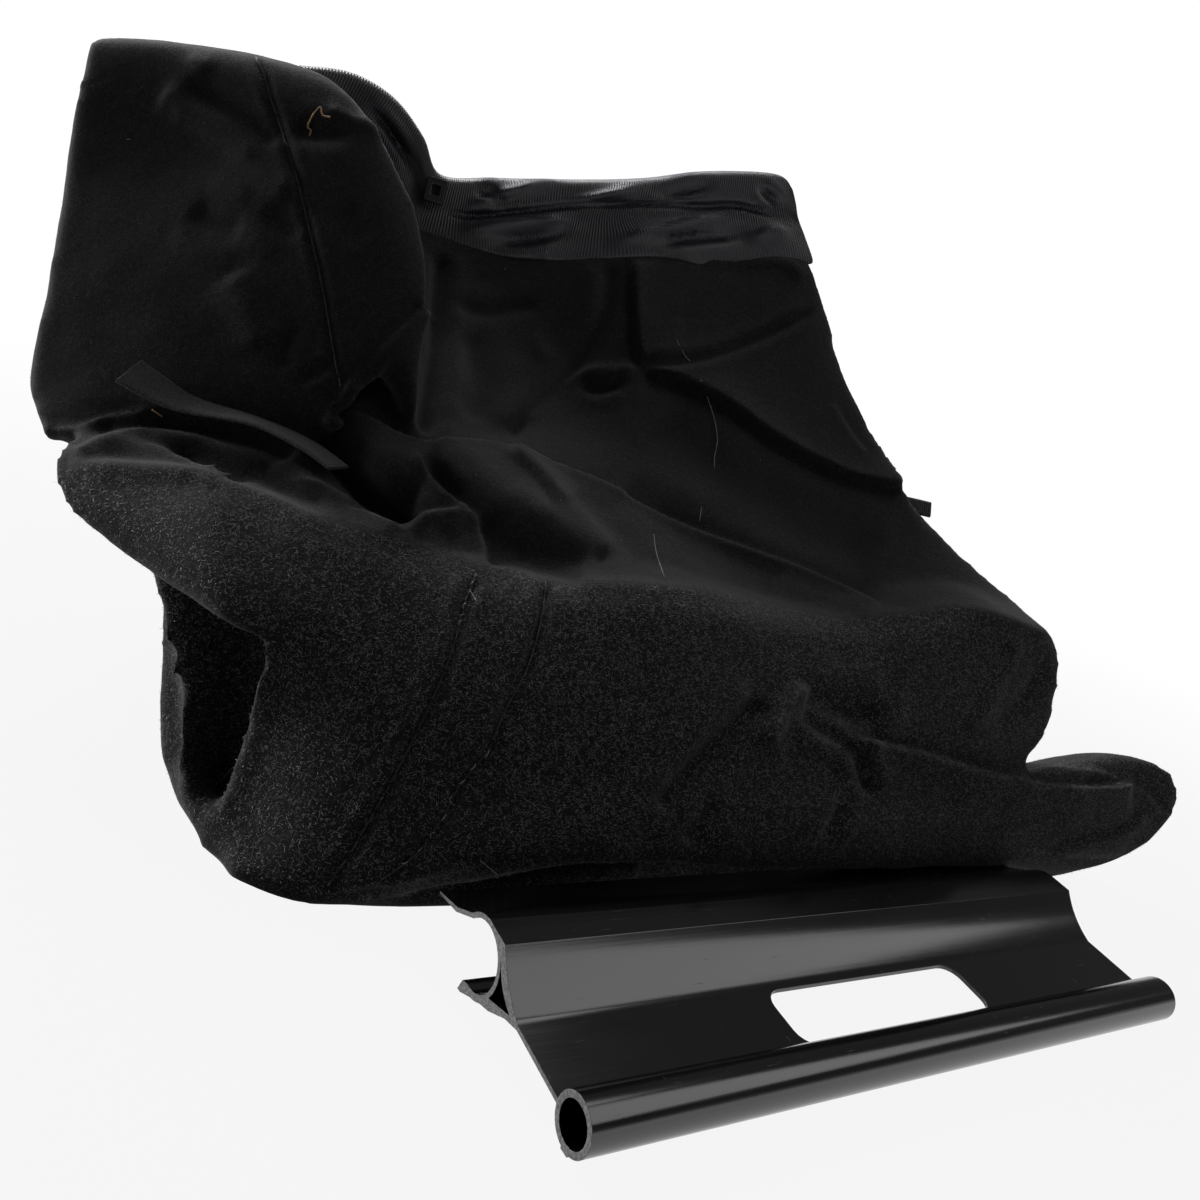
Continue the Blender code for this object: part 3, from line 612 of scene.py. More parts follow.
for lobe in lobes:
    joined.from_mesh(lobe)
raw = bpy.data.meshes.new("felt_raw")
joined.to_mesh(raw)
joined.free()
skin_mesh = baked(raw, ("REMESH", {"mode": "VOXEL", "voxel_size": SKIN_VOXEL}),
                  ("SMOOTH", {"factor": 0.5, "iterations": SKIN_SMOOTHING}))
bm = bmesh.new()
bm.from_mesh(skin_mesh)
cut = bmesh.ops.bisect_plane(bm, geom=bm.verts[:] + bm.edges[:] + bm.faces[:], plane_co=(0, 0, 0),
                             plane_no=(0, 0, 1), clear_inner=True)
rim = [e for e in cut["geom_cut"] if isinstance(e, bmesh.types.BMEdge)]
bmesh.ops.triangle_fill(bm, edges=rim, use_beauty=True)
bmesh.ops.recalc_face_normals(bm, faces=bm.faces)
bm.to_mesh(skin_mesh)
bm.free()
print("one skin:", len(skin_mesh.polygons), "faces")

# %% [markdown]
# ## Folds traced from the camera's side
#
# Each fold is a line over the picture frame of 1200 by 1200 points, with a height and a width. A ray from
# the camera finds how deep the skin is along the line, and the skin near it then moves along its own
# normals. A crease sinks between two soft shoulders, a ridge stands up, and a lap lifts the cloth on the
# right-hand side of its line and sinks the other, as where one layer lies over the next. Because the
# moves are real, the folds look right from any side.


# %% Picture points and the skin
FRAME_PIXELS = 1200
MIDDLE = FRAME_PIXELS / 2
FOCAL_PIXELS = CAMERA_LENS_MM / camera.data.sensor_width * FRAME_PIXELS
SIGHT = np.array((tuple(right), tuple(up), tuple(forward)))
EYE = np.array(CAMERA_PLACE)


def to_picture(world_points):
    """Picture column and row, and depth, of places in the scene."""
    local = (world_points - EYE) @ SIGHT.T
    depth = local[:, 2]
    return MIDDLE + FOCAL_PIXELS * local[:, 0] / depth, MIDDLE - FOCAL_PIXELS * local[:, 1] / depth, depth


def tree_of(mesh):
    return BVHTree.FromPolygons([v.co for v in mesh.vertices], [p.vertices for p in mesh.polygons])


def seen_place(tree, u, v):
    """The place and normal of the skin behind a picture point."""
    way = forward + right * ((u - MIDDLE) / FOCAL_PIXELS) - up * ((v - MIDDLE) / FOCAL_PIXELS)
    hit, normal, _, _ = tree.ray_cast(CAMERA_PLACE, way.normalized())
    return hit, normal


FOLD_REACH = 0.028
FOLD_FADE = 14.0
LAP_EDGE = 0.0012


def along_line(spot, line, depths):
    """For each picture spot its distance from a line, its side, how far along it lies and the line's depth."""
    best = np.full(len(spot), 1e9)
    side, travelled, deep = (np.zeros(len(spot)) for _ in range(3))
    run = 0.0
    for i, (a, b) in enumerate(zip(line, line[1:])):
        way = b - a
        length = np.linalg.norm(way)
        t = np.clip((spot - a) @ way / length ** 2, 0, 1)
        off = spot - (a + t[:, None] * way)
        distance = np.linalg.norm(off, axis=1)
        closer = distance < best
        best[closer] = distance[closer]
        side[closer] = np.sign(way[0] * off[closer, 1] - way[1] * off[closer, 0])
        travelled[closer] = run + t[closer] * length
        deep[closer] = depths[i] + (depths[i + 1] - depths[i]) * t[closer]
        run += length
    return best * deep / FOCAL_PIXELS, side, travelled, run, deep


def fold_shape(kind, distance, side, width):
    """How far a fold moves the skin, as a share of its height."""
    hump = np.exp(-(distance / width) ** 2)
    if kind == "ridge":
        return hump
    if kind == "crease":
        return 0.35 * np.exp(-((distance - 2.2 * width) / (1.2 * width)) ** 2) - hump
    step = 0.5 + 0.5 * np.tanh(side * distance / LAP_EDGE)
    return step * np.exp(-distance / (2.5 * width)) - (1 - step) * 0.6 * np.exp(-distance / width)


class Folds:
    """Adds up the moves of many folds over one skin."""

    def __init__(self, mesh):
        self.mesh = mesh
        self.tree = tree_of(mesh)
        self.skin = points_of(mesh)
        self.normals = points_of(mesh, "normal")
        self.u, self.v, self.depth = to_picture(self.skin)
        sight = self.skin - EYE
        sight /= np.linalg.norm(sight, axis=1)[:, None]
        self.facing = np.clip(-(self.normals * sight).sum(1) * 3.0, 0, 1)
        self.lift = np.zeros(len(self.skin))

    def press(self, points, height_mm, width_mm, kind="crease", fade=FOLD_FADE):
        line = smooth_line(points, 6)
        width = width_mm * 0.001
        depths = []
        for u, v in line:
            hit, _ = seen_place(self.tree, u, v)
            depths.append((hit - CAMERA_PLACE).dot(forward) if hit else np.nan)
        depths = np.array(depths)
        if np.isnan(depths).all():
            return
        known = ~np.isnan(depths)
        depths = np.interp(np.arange(len(depths)), np.flatnonzero(known), depths[known])
        wide = width * FOCAL_PIXELS / depths.min() * 4.5
        near = ((self.u > line[:, 0].min() - wide) & (self.u < line[:, 0].max() + wide)
                & (self.v > line[:, 1].min() - wide) & (self.v < line[:, 1].max() + wide) & (self.facing > 0))
        spot = np.stack([self.u[near], self.v[near]], axis=1)
        distance, side, travelled, run, deep = along_line(spot, line, depths)
        shape = fold_shape(kind, distance, side, width)
        ends = np.clip(np.minimum(travelled, run - travelled) / min(fade, run / 2.2), 0, 1)
        ends = ends * ends * (3 - 2 * ends)
        layer = np.clip(2.0 - 2.0 * np.abs(self.depth[near] - deep) / FOLD_REACH, 0, 1)
        self.lift[near] += height_mm * 0.001 * shape * ends * layer * self.facing[near]

    def settle(self):
        move_points(self.mesh, self.skin + self.normals * self.lift[:, None])


print("picture helpers ready; focal length in picture points:", round(FOCAL_PIXELS, 1))

# %% Lines of the folds: picture points, height in mm, width in mm, kind
RIDGE = ((66, 468), (100, 465), (150, 468), (205, 473), (250, 490), (300, 512), (350, 532), (400, 547), (450, 560),
         (478, 570), (510, 570), (545, 580), (600, 585), (700, 592), (750, 600), (800, 612), (840, 621), (880, 617),
         (915, 614), (950, 607), (1000, 618), (1052, 640))
SEAM_A = ((476, 575), (466, 600), (452, 650), (432, 700), (408, 750), (384, 795), (352, 850), (326, 888))
SEAM_B = ((546, 582), (541, 620), (527, 668), (504, 712), (488, 750), (460, 785), (440, 822), (415, 855), (380, 880))
HOOD_SEAM = ((256, 58), (264, 75), (270, 95), (282, 130), (300, 190), (312, 240), (322, 285), (330, 330), (336, 365),
             (341, 388))
FOLD_LINES = [
    (RIDGE, 1.6, 3.5, "ridge"),
    (SEAM_A, 3.0, 2.3, "crease"),
    (SEAM_B, 3.0, 2.3, "crease"),
    # front roll, its star of creases
    (((766, 698), (745, 720), (720, 744), (700, 765), (680, 786), (658, 812)), 5.5, 5.0, "crease"),
    (((806, 684), (785, 706), (770, 727), (758, 748)), 4.5, 5.0, "ridge"),
    (((800, 700), (822, 706), (850, 712), (884, 716)), 4.5, 7.0, "crease"),
    (((800, 712), (822, 730), (846, 746), (859, 766), (868, 786), (874, 800)), 4.0, 3.2, "crease"),
    (((848, 800), (836, 820), (822, 846)), 3.0, 3.0, "crease"),
    (((720, 800), (700, 822), (690, 850)), 2.5, 6.0, "crease"),
    (((905, 690), (893, 725), (882, 748)), 2.0, 5.0, "ridge"),
    (((1018, 632), (1006, 668), (985, 705), (965, 735)), 2.2, 4.0, "ridge"),
    (((1046, 660), (1022, 700), (992, 730)), 2.0, 5.0, "crease"),
    # tongue in front of the roll, and its crease
    (((838, 735), (900, 747), (950, 761), (1000, 776), (1050, 785), (1100, 786), (1132, 782)), 7.0, 4.5, "lap"),
    (((1050, 850), (1085, 840), (1120, 830), (1146, 812)), 3.5, 3.2, "lap"),
    (((1004, 776), (1040, 768), (1085, 768), (1122, 778), (1150, 798), (1166, 818)), 2.6, 2.2, "lap"),
    (((1060, 858), (1100, 862), (1130, 858)), 2.0, 3.0, "crease"),
    # left arm, folds beside its ridge
    (((76, 456), (120, 452), (165, 455), (205, 462), (245, 478), (290, 497), (330, 512)), 2.6, 4.0, "crease"),
    (((70, 452), (100, 438), (150, 430), (200, 438), (245, 458), (290, 484), (340, 492), (366, 505)), 2.2, 3.5,
     "lap"),
    (((150, 420), (210, 428), (270, 448), (320, 478), (352, 492)), 2.4, 3.5, "crease"),
    (((40, 425), (75, 428), (110, 415), (150, 410)), 2.5, 3.0, "lap"),
    (((50, 440), (80, 440), (118, 424)), 1.8, 3.0, "crease"),
    (((345, 520), (372, 516), (396, 530), (402, 540)), 2.2, 2.6, "lap"),
    (((428, 526), (440, 540), (452, 550)), 1.8, 2.4, "lap"),
    # hollow behind the arm, and the heart-shaped folds
    (((318, 428), (342, 458), (368, 484), (398, 500), (424, 507)), 15.0, 8.0, "crease"),
    (((322, 413), (345, 438), (372, 463), (398, 488), (424, 508)), 5.0, 4.5, "ridge"),
    (((398, 521), (430, 513), (466, 509)), 4.0, 3.2, "lap"),
    (((488, 572), (486, 545), (480, 521), (469, 506), (452, 496), (430, 478), (416, 459)), -6.0, 3.6, "lap"),
    (((428, 462), (446, 480), (466, 494)), 2.6, 2.2, "crease"),
    (((478, 514), (505, 540), (545, 562), (590, 578)), 3.5, 9.0, "crease"),
    # seat
    (((558, 514), (545, 492), (525, 472), (500, 454)), 3.0, 3.0, "lap"),
    (((430, 448), (470, 470), (520, 500), (560, 530), (600, 566)), 3.4, 8.0, "ridge"),
    (((505, 452), (560, 500), (600, 545), (628, 572)), 2.5, 6.0, "ridge"),
    (((620, 490), (700, 545), (780, 588)), 2.2, 10.0, "crease"),
    # where the seat lies over the back panel
    (((324, 412), (360, 424), (400, 436), (430, 443), (470, 441), (505, 446), (550, 463), (600, 481), (650, 507),
      (700, 530), (750, 550), (800, 568), (850, 590), (884, 606)), 4.5, 4.0, "lap"),
    # back panel
    (((641, 368), (635, 340), (632, 300), (631, 256)), 5.5, 5.0, "lap"),
    (((612, 262), (606, 310), (586, 350), (560, 386), (530, 414), (508, 438)), 3.5, 4.5, "crease"),
    (((645, 370), (700, 360), (750, 342), (800, 318), (814, 306)), 2.6, 3.0, "crease"),
    (((906, 491), (850, 480), (810, 463), (770, 440), (730, 412), (690, 390), (642, 370)), 6.5, 6.0, "lap"),
    (((640, 369), (600, 373), (572, 381), (548, 402), (524, 424)), 3.2, 4.0, "ridge"),
    (((575, 385), (600, 389), (625, 381)), 3.0, 3.0, "crease"),
    (((660, 420), (720, 470), (800, 520), (880, 560)), 3.0, 16.0, "crease"),
    (((450, 302), (490, 312), (540, 303)), 2.2, 4.0, "crease"),
    (((528, 330), (540, 350), (552, 368)), 1.8, 4.0, "ridge"),
    (((700, 262), (740, 262), (785, 264), (806, 282)), 2.2, 3.5, "ridge"),
    (((832, 398), (848, 430), (868, 458)), 2.6, 3.0, "lap"),
    (((470, 330), (480, 380), (476, 425)), 2.0, 7.0, "crease"),
    # flap at the left
    (HOOD_SEAM, 1.8, 1.8, "crease"),
    (((158, 92), (200, 115), (240, 145), (270, 174), (296, 196)), 3.2, 7.0, "ridge"),
    (((184, 84), (225, 106), (262, 128), (280, 146)), 3.0, 6.0, "crease"),
    (((292, 126), (320, 132), (352, 129)), 3.0, 4.5, "crease"),
    (((322, 112), (352, 121), (392, 132)), 2.2, 4.0, "ridge"),
    (((186, 52), (198, 66), (206, 80)), 1.6, 4.0, "ridge"),
    (((190, 205), (215, 222), (245, 232)), 2.2, 7.0, "crease"),
    (((262, 208), (282, 222), (300, 240)), 1.8, 6.0, "crease"),
    (((230, 272), (250, 312), (262, 352)), 2.4, 9.0, "ridge"),
    (((298, 322), (286, 346), (282, 372)), 2.2, 3.0, "crease"),
    (((338, 362), (318, 370), (298, 382)), 2.2, 2.6, "crease"),
    (((345, 200), (356, 226), (372, 240)), 1.6, 6.0, "crease"),
    (((326, 412), (345, 386), (372, 358), (402, 328), (431, 301)), 6.0, 4.0, "lap"),
    (((442, 250), (438, 300), (436, 350), (430, 400), (426, 436)), 5.0, 4.5, "crease"),
    # lower edge of the front layer at the left
    (((500, 852), (470, 866), (430, 876), (390, 884), (340, 890)), 2.5, 2.2, "lap"),
]

# %% Press the folds
SLOW_WAVES = ((0.052, 1.3), (0.024, 0.6), (0.011, 0.18))
CALM_HEIGHT = 0.010
# depth of a fold at which its painted shade is full
FULL_CREASE_SHADE_DEPTH = 0.004
STEPPED_EDGES = (
    ((838, 352), (858, 400), (898, 478), (940, 532), (985, 582), (1030, 622), (1056, 655), (1058, 700)),
    ((178, 610), (180, 640), (182, 680), (184, 720), (190, 760)),
)
ROUGH_SPOT = ((200, 452), (214, 463), (226, 473))


def relax(mesh, edges, reach=13, rounds=22):
    """Evens out the steps of the voxel grid along picture lines."""
    spots = points_of(mesh)
    u, v, _ = to_picture(spots)
    share = np.zeros(len(spots))
    for edge in edges:
        for x, y in smooth_line(edge, 6):
            share = np.maximum(share, np.exp(-((u - x) ** 2 + (v - y) ** 2) / reach ** 2))
    ends = np.zeros(len(mesh.edges) * 2, dtype=np.int32)
    mesh.edges.foreach_get("vertices", ends)
    a, b = ends.reshape(-1, 2).T
    count = np.bincount(ends, minlength=len(spots))[:, None]
    for _ in range(rounds):
        around = np.stack([np.bincount(a, spots[b, k], len(spots)) + np.bincount(b, spots[a, k], len(spots))
                           for k in range(3)], axis=1)
        spots = spots + 0.6 * share[:, None] * (around / count - spots)
    move_points(mesh, spots)


relax(skin_mesh, STEPPED_EDGES)
folds = Folds(skin_mesh)
for points, height, width, kind in FOLD_LINES:
    folds.press(points, height, width, kind)
wave = np.zeros(len(folds.skin))
for size, height in SLOW_WAVES:
    wave += height * 0.001 * np.array([mnoise.noise(Vector(p) / size) for p in folds.skin])
folds.lift += wave * np.clip(folds.skin[:, 2] / CALM_HEIGHT, 0, 1)
# painted shade: how far each point sank into a fold, as a share of full shade
painted_crease_shade = np.clip(-folds.lift / FULL_CREASE_SHADE_DEPTH, 0, 1)
folds.settle()
skin_now = points_of(skin_mesh)
skin_now[:, 2] = np.maximum(skin_now[:, 2], 0.0)
move_points(skin_mesh, skin_now)
relax(skin_mesh, (ROUGH_SPOT,), 8, 12)
print("pressed", len(FOLD_LINES), "folds; the deepest is", round(-1000 * folds.lift.min(), 1), "mm")

# %% [markdown]
# The front of the bag shows the brushed face of the felt, with a longer nap than the flap and the back
# panel. Two values per point of the skin go to the finish: how long the nap is, and how deep the point lies
# in a crease, which the finish turns into painted shade.

# %% Values on the skin
NAP_BORDER_PX = 5
ridge_line = smooth_line(RIDGE, 6)
below = folds.v - np.interp(folds.u, ridge_line[:, 0], ridge_line[:, 1])
seen = folds.facing > 0.02
nap = np.where(seen, 1 / (1 + np.exp(-np.clip(below / NAP_BORDER_PX, -30, 30))), 0.5)
for name, values in (("nap", nap), ("painted_crease_shade", painted_crease_shade)):
    attribute = skin_mesh.attributes.new(name, "FLOAT", "POINT")
    attribute.data.foreach_set("value", values.astype(np.float32))
skin_mesh.shade_smooth()
bag = piece("felt_bag", skin_mesh, FELT, "black_felt", "bag_body")
BAG_TREE = tree_of(skin_mesh)
print("felt skin:", len(skin_mesh.polygons), "faces; long nap on", round(float(nap.mean()), 2), "of its points")


def nearest_on(skin, point, lift=0.0):
    """The nearest place on a skin to a point, lifted along the skin's normal."""
    place, normal, _, _ = skin.find_nearest(Vector(point))
    return place + normal * lift


def under_picture(points, lift=0.0, skin=BAG_TREE):
    """Places on a skin behind a line of picture points."""
    seen_places = [seen_place(skin, u, v) for u, v in points]
    return [hit + normal * lift for hit, normal in seen_places if hit]


# %% [markdown]
# ## Loose fibres
#
# Felt shows single hairs that stand out of it, and they soften its outline. Each hair here is a thin
# tapered blade of three faces, bent once, that leaves the skin at a random angle. They are shared out by
# area, with longer and paler ones on the front of the bag, where the nap is longest.

# %% Scatter the hairs
BARE_HEIGHT = 0.004


def fuzz(name, seed, count, chosen, length_mm, width_mm, material):
    mesh = bag.data
    mesh.calc_loop_triangles()
    corners = np.zeros(len(mesh.loop_triangles) * 3, dtype=np.int32)
    mesh.loop_triangles.foreach_get("vertices", corners)
    corners = corners.reshape(-1, 3)
    skin = points_of(mesh)
    a, b, c = (skin[corners[:, i]] for i in range(3))
    cross = np.cross(b - a, c - a)
    area = np.linalg.norm(cross, axis=1)
    normal = cross / np.maximum(area, 1e-12)[:, None]
    high_enough = (a + b + c)[:, 2] > 3 * BARE_HEIGHT
    share = area * chosen(nap[corners].mean(1), folds.facing[corners].mean(1)) * high_enough
    rng = np.random.default_rng(seed)
    picks = rng.choice(len(area), count, p=share / share.sum())
    u, v = rng.random(count), rng.random(count)
    over = u + v > 1
    u[over], v[over] = 1 - u[over], 1 - v[over]
    root = a[picks] + u[:, None] * (b - a)[picks] + v[:, None] * (c - a)[picks]
    out = normal[picks]
    lean = rng.normal(size=(count, 3))
    lean -= (lean * out).sum(1)[:, None] * out
    lean /= np.linalg.norm(lean, axis=1)[:, None]
    lift = rng.uniform(0.10, 0.75, count)[:, None]
    length = (rng.uniform(0.4, 1.0, count) ** 1.5 * length_mm * 0.001)[:, None]
    way = lean * np.sqrt(1 - lift ** 2) + out * lift
    bend = lean * rng.uniform(-0.2, 0.6, count)[:, None] + np.cross(out, lean) * rng.normal(0, 0.5, count)[:, None]
    side = np.cross(way, out)
    side /= np.maximum(np.linalg.norm(side, axis=1), 1e-9)[:, None]
    half = side * width_mm * 0.0005
    middle = root + way * length * 0.55
    tip = middle + (way * 0.45 + bend * 0.35 - out * lift * 0.25) * length
    verts = np.stack([root - half, root + half, middle - half * 0.7, middle + half * 0.7, tip], axis=1)
    base = np.arange(count)[:, None] * 5
    faces = np.stack([base + (0, 1, 3), base + (0, 3, 2), base + (2, 3, 4)], axis=1).reshape(-1, 3)
    made = bpy.data.meshes.new(name)
    made.from_pydata(verts.reshape(-1, 3).tolist(), [], faces.tolist())
    made.shade_smooth()
    return piece(name, made, material, "black_felt")


def front_share(long_nap, facing):
    return (long_nap > 0.6) * (facing + 0.3)


def back_share(long_nap, facing):
    return (long_nap < 0.6) * (facing + 0.25)


# name, seed, number of hairs, where they stand, longest in mm, width in mm, finish
HAIRS = (
    ("felt_fuzz_1", 20, 36000, front_share, 2.6, 0.20, FIBRE),
    ("felt_fuzz_2", 21, 18000, front_share, 1.4, 0.26, FIBRE),
    ("felt_fuzz_3", 22, 62000, back_share, 1.4, 0.11, SHORT_FIBRE),
)
for row in HAIRS:
    print(row[0], len(fuzz(*row).data.polygons), "faces")


# %% [markdown]
# ## Handle and tie head
#
# The extruded handle and the tie head come straight from their CAD solids: faces are joined where they are
# flat, edges get a hair of rounding so that they catch the light, and curved walls are shaded smooth.

# %% Dress the rigid pieces
FLAT_DEGREES = 0.6
SHARP_DEGREES = 28
HANDLE_ROUND_MM = 0.16
TIE_ROUND_MM = 0.5


def dressed(name, node, material, slot, round_mm, segments):
    plain = welded_copy(node, FLAT_DEGREES)
    plain.shade_smooth()
    mesh = baked(plain, ("BEVEL", {"width": round_mm * 0.001, "segments": segments, "limit_method": "ANGLE",
                                   "angle_limit": math.radians(SHARP_DEGREES)}),
                 ("WEIGHTED_NORMAL", {"mode": "FACE_AREA", "weight": 50, "keep_sharp": False}))
    return piece(name, mesh, material, slot, node)


handle = dressed("handle_profile", "clip_handle", PLASTIC, "black_plastic", HANDLE_ROUND_MM, 2)
tie = dressed("tie_buckle", "tie_head", NYLON, "tie_plastic", TIE_ROUND_MM, 3)
print("handle:", len(handle.data.polygons), "faces; tie head:", len(tie.data.polygons), "faces")

# %% [markdown]
# ## Collar
#
# The collar is a band of ribbed knit. It is lofted again from its seam, its stitch line and its top edge,
# this time with so many columns that each rib is real, and with the soft wrinkles that the drawn cord
# leaves in it. The ribs run across the band.

# %% Lines of the collar, left to right
COLLAR_SEAM = places((-196, 419, 264), (-172, 413, 262), (-150, 402, 260), (-133, 392, 256), (-121, 387, 254),
                     (-80, 371, 257), (-42, 358, 266), (5, 345, 283), (36, 335, 287), (78, 323, 303), (94, 319, 308))
COLLAR_STITCH = places((-192, 428, 298), (-170, 424, 302), (-149, 415, 302), (-130, 402, 288), (-119, 389, 267),
                       (-83, 379, 274), (-38, 366, 287), (-6, 356, 301), (30, 350, 314), (72, 338, 330),
                       (86, 332, 328))
COLLAR_TOP = places((-190, 433, 316), (-164, 431, 322), (-142, 420, 317), (-126, 406, 302), (-115, 395, 285),
                    (-84, 388, 293), (-36, 375, 308), (-3, 365, 320), (31, 356, 335), (70, 345, 347), (80, 341, 344))
COLLAR_THICKNESS = 0.013
COLLAR_LAP = 0.0030
CHANNEL_BULGE = 0.0022
EDGE_PROUD = 0.001
RIB_PITCH = 0.0015
RIB_HEIGHT = 0.00030
RING_STEPS = 8
COLUMNS_A_RIB = 4


def collar_mesh():
    thick = Vector((0.002, COLLAR_THICKNESS, 0))
    front = Vector((-0.3, -1.0, 0)).normalized()
    sections = []
    for seam, stitch, top in zip(COLLAR_SEAM, COLLAR_STITCH, COLLAR_TOP):
        rise = (top - seam).normalized()
        low = seam - rise * COLLAR_LAP + front * EDGE_PROUD
        middle = seam.lerp(stitch, 0.5) + front * CHANNEL_BULGE * 0.6
        channel = stitch.lerp(top, 0.5) + front * CHANNEL_BULGE
        rim = top + front * EDGE_PROUD
        ring = [low, middle, stitch, channel, rim]
        rear = [low + thick, middle + thick, stitch + thick * 0.85, channel + thick, rim + thick]
        sections.append(ring + list(reversed(rear)))
    lines = [smooth_line([s[i] for s in sections], 12) for i in range(10)]
    run = run_along(lines[2])
    stations = np.linspace(0, run[-1], int(run[-1] / RIB_PITCH * COLUMNS_A_RIB))
    even = [resampled(line, run, stations) for line in lines]
    rings = []
    for i, station in enumerate(stations):
        ring = ring_spline([line[i] for line in even], RING_STEPS)
        centre = ring.mean(0)
        outward = ring - centre
        outward /= np.linalg.norm(outward, axis=1)[:, None]
        rib = RIB_HEIGHT * math.cos(2 * math.pi * station / RIB_PITCH)
        rings.append(ring + outward * rib)
    return tube_mesh("collar_knit", rings, (len(lines) - 1) * RING_STEPS)


collar_skin = collar_mesh()
COLLAR_FOLD_FADE = 50.0
COLLAR_FOLDS = [
    (((352, 96), (380, 118), (402, 150), (418, 182)), 2.55, 2.3, "crease"),
    (((432, 208), (470, 216), (520, 212), (580, 205), (640, 204), (700, 206), (740, 206), (790, 222)), 2.04, 1.84,
     "crease"),
    (((458, 206), (500, 196), (540, 186), (570, 182)), 3.74, 3.45, "ridge"),
    (((470, 190), (492, 196), (510, 208)), 3.06, 2.99, "crease"),
    (((560, 206), (600, 198), (640, 188), (660, 183)), 3.4, 3.68, "ridge"),
    (((650, 200), (690, 190), (720, 184)), 2.72, 3.45, "crease"),
    (((450, 232), (500, 226), (550, 224), (590, 218)), 4.08, 4.14, "ridge"),
    (((480, 244), (530, 238), (580, 230)), 3.4, 3.68, "crease"),
    (((600, 244), (650, 232), (700, 222), (740, 214)), 4.08, 4.14, "ridge"),
    (((640, 246), (700, 238), (760, 234)), 3.4, 3.45, "crease"),
    (((740, 240), (770, 232), (798, 236)), 3.06, 3.45, "ridge"),
    (((756, 184), (770, 196), (778, 208)), 2.72, 2.76, "crease"),
]
collar_folds = Folds(collar_skin)
for points, height, width, kind in COLLAR_FOLDS:
    collar_folds.press(points, height, width, kind, COLLAR_FOLD_FADE)
collar_folds.settle()
collar = piece("collar_band", collar_skin, KNIT, "black_knit", "knit_collar")
print("collar:", len(collar.data.polygons), "faces")

# %% [markdown]
# ## Webbing straps
#
# Narrow webbing has raised cords across it and a firm edge. Each strap follows the same line as its
# plain solid, with its ribs drawn as real waves, and it ends in a straight cut.

# %% Straps
STRAP_WIDTH = 0.019
STRAP_TIP_WIDTH = 0.0095
STRAP_THICKNESS = 0.0018
STRAP_RIB_PITCH = 0.0013
STRAP_RIB_HEIGHT = 0.00022
STRAP_FLAT_SHARE = 0.9
STRAP_TWIST_SHARE = 0.6


def strap_mesh(name, points, across, across_end, width, slant=0.0):
    line = smooth_line(points, 10)
    run = run_along(line)
    stations = np.linspace(0, run[-1], int(run[-1] / STRAP_RIB_PITCH * 5))
    path = resampled(line, run, stations)
    heading = np.gradient(path, axis=0)
    heading /= np.linalg.norm(heading, axis=1)[:, None]
    steps = 12
    rings = []
    for place_here, ahead, station in zip(path, heading, stations):
        turned = min(station / run[-1] / STRAP_TWIST_SHARE, 1.0)
        sideways = np.array(across) * (1 - turned) + np.array(across_end) * turned
        sideways = sideways - ahead * np.dot(sideways, ahead)
        sideways /= np.linalg.norm(sideways)
        lift = np.cross(ahead, sideways)
        ring = []
        for face in (1, -1):
            for k in range(steps + 1):
                t = (k / steps * 2 - 1) * face
                rib = STRAP_RIB_HEIGHT * math.cos(2 * math.pi * (station + slant * t * width) / STRAP_RIB_PITCH)
                edge = 1 - max(abs(t) - STRAP_FLAT_SHARE, 0) * 6
                height = (STRAP_THICKNESS / 2 * edge + rib * (1 - t * t) ** 0.5) * face
                ring.append(place_here + sideways * t * width / 2 + lift * height)
        rings.append(ring)
    return tube_mesh(name, rings, 2 * steps + 1)


left_line = places((-267, 325, 155), (-246, 310, 149), (-218, 291, 150), (-199, 273, 147), (-187, 259, 142))
left_strap = piece("webbing_left", strap_mesh("webbing_left", left_line, (0.48, 0.68, 0.55), (0.59, 0.80, 0.05),
                                              STRAP_WIDTH, 0.25), WEBBING, "black_webbing", "strap_left")
right_line = places((120, 236, 184), (142, 228, 187), (160, 221, 188))
right_strap = piece("webbing_right", strap_mesh("webbing_right", right_line, (0, 0.5, 0.85), (0, 0.5, 0.85),
                                                STRAP_TIP_WIDTH), WEBBING, "black_webbing", "strap_right")
print("straps:", len(left_strap.data.polygons), "and", len(right_strap.data.polygons), "faces")

# %% [markdown]
# ## Stitches and lint
#
# The seams hold with a lock stitch, which shows as short bright dashes where the thread comes up, and a
# near-black tube lies in each seam of the felt as painted shade. The cloth has picked up a curled tan fibre,
# some pale hairs and a few specks. All are thin tubes that lie on the nearest place of the cloth.


# %% Threads and wires
def wires(name, paths, radius, material, slot):
    """One piece made of many thin tubes."""
    bm = bmesh.new()
    for path in paths:
        add_tube(bm, thin_tube(path, radius))
    return piece(name, finished_mesh(bm, name), material, slot)


def evenly(points, step):
    """Places every step along a line of places."""
    line = np.array([tuple(p) for p in points])
    run = run_along(line)
    return resampled(line, run, np.arange(0, run[-1], step))


def stitches(points, seed, skin=BAG_TREE, pitch=0.0042, dash=0.0024, lift=0.0009, stray=0.0005):
    """Short thread dashes along a seam on a skin, each a little off its line."""
    spots = evenly(points, pitch / 6)
    rng = np.random.default_rng(seed)
    paths = []
    for start in range(0, len(spots) - 5, 6):
        last = min(start + max(int(round(dash / pitch * 6)), 2) + 1, len(spots))
        off = rng.normal(0, stray, 3)
        paths.append([nearest_on(skin, p + off * k / 3, lift) for k, p in enumerate(spots[start:last])])
    return paths


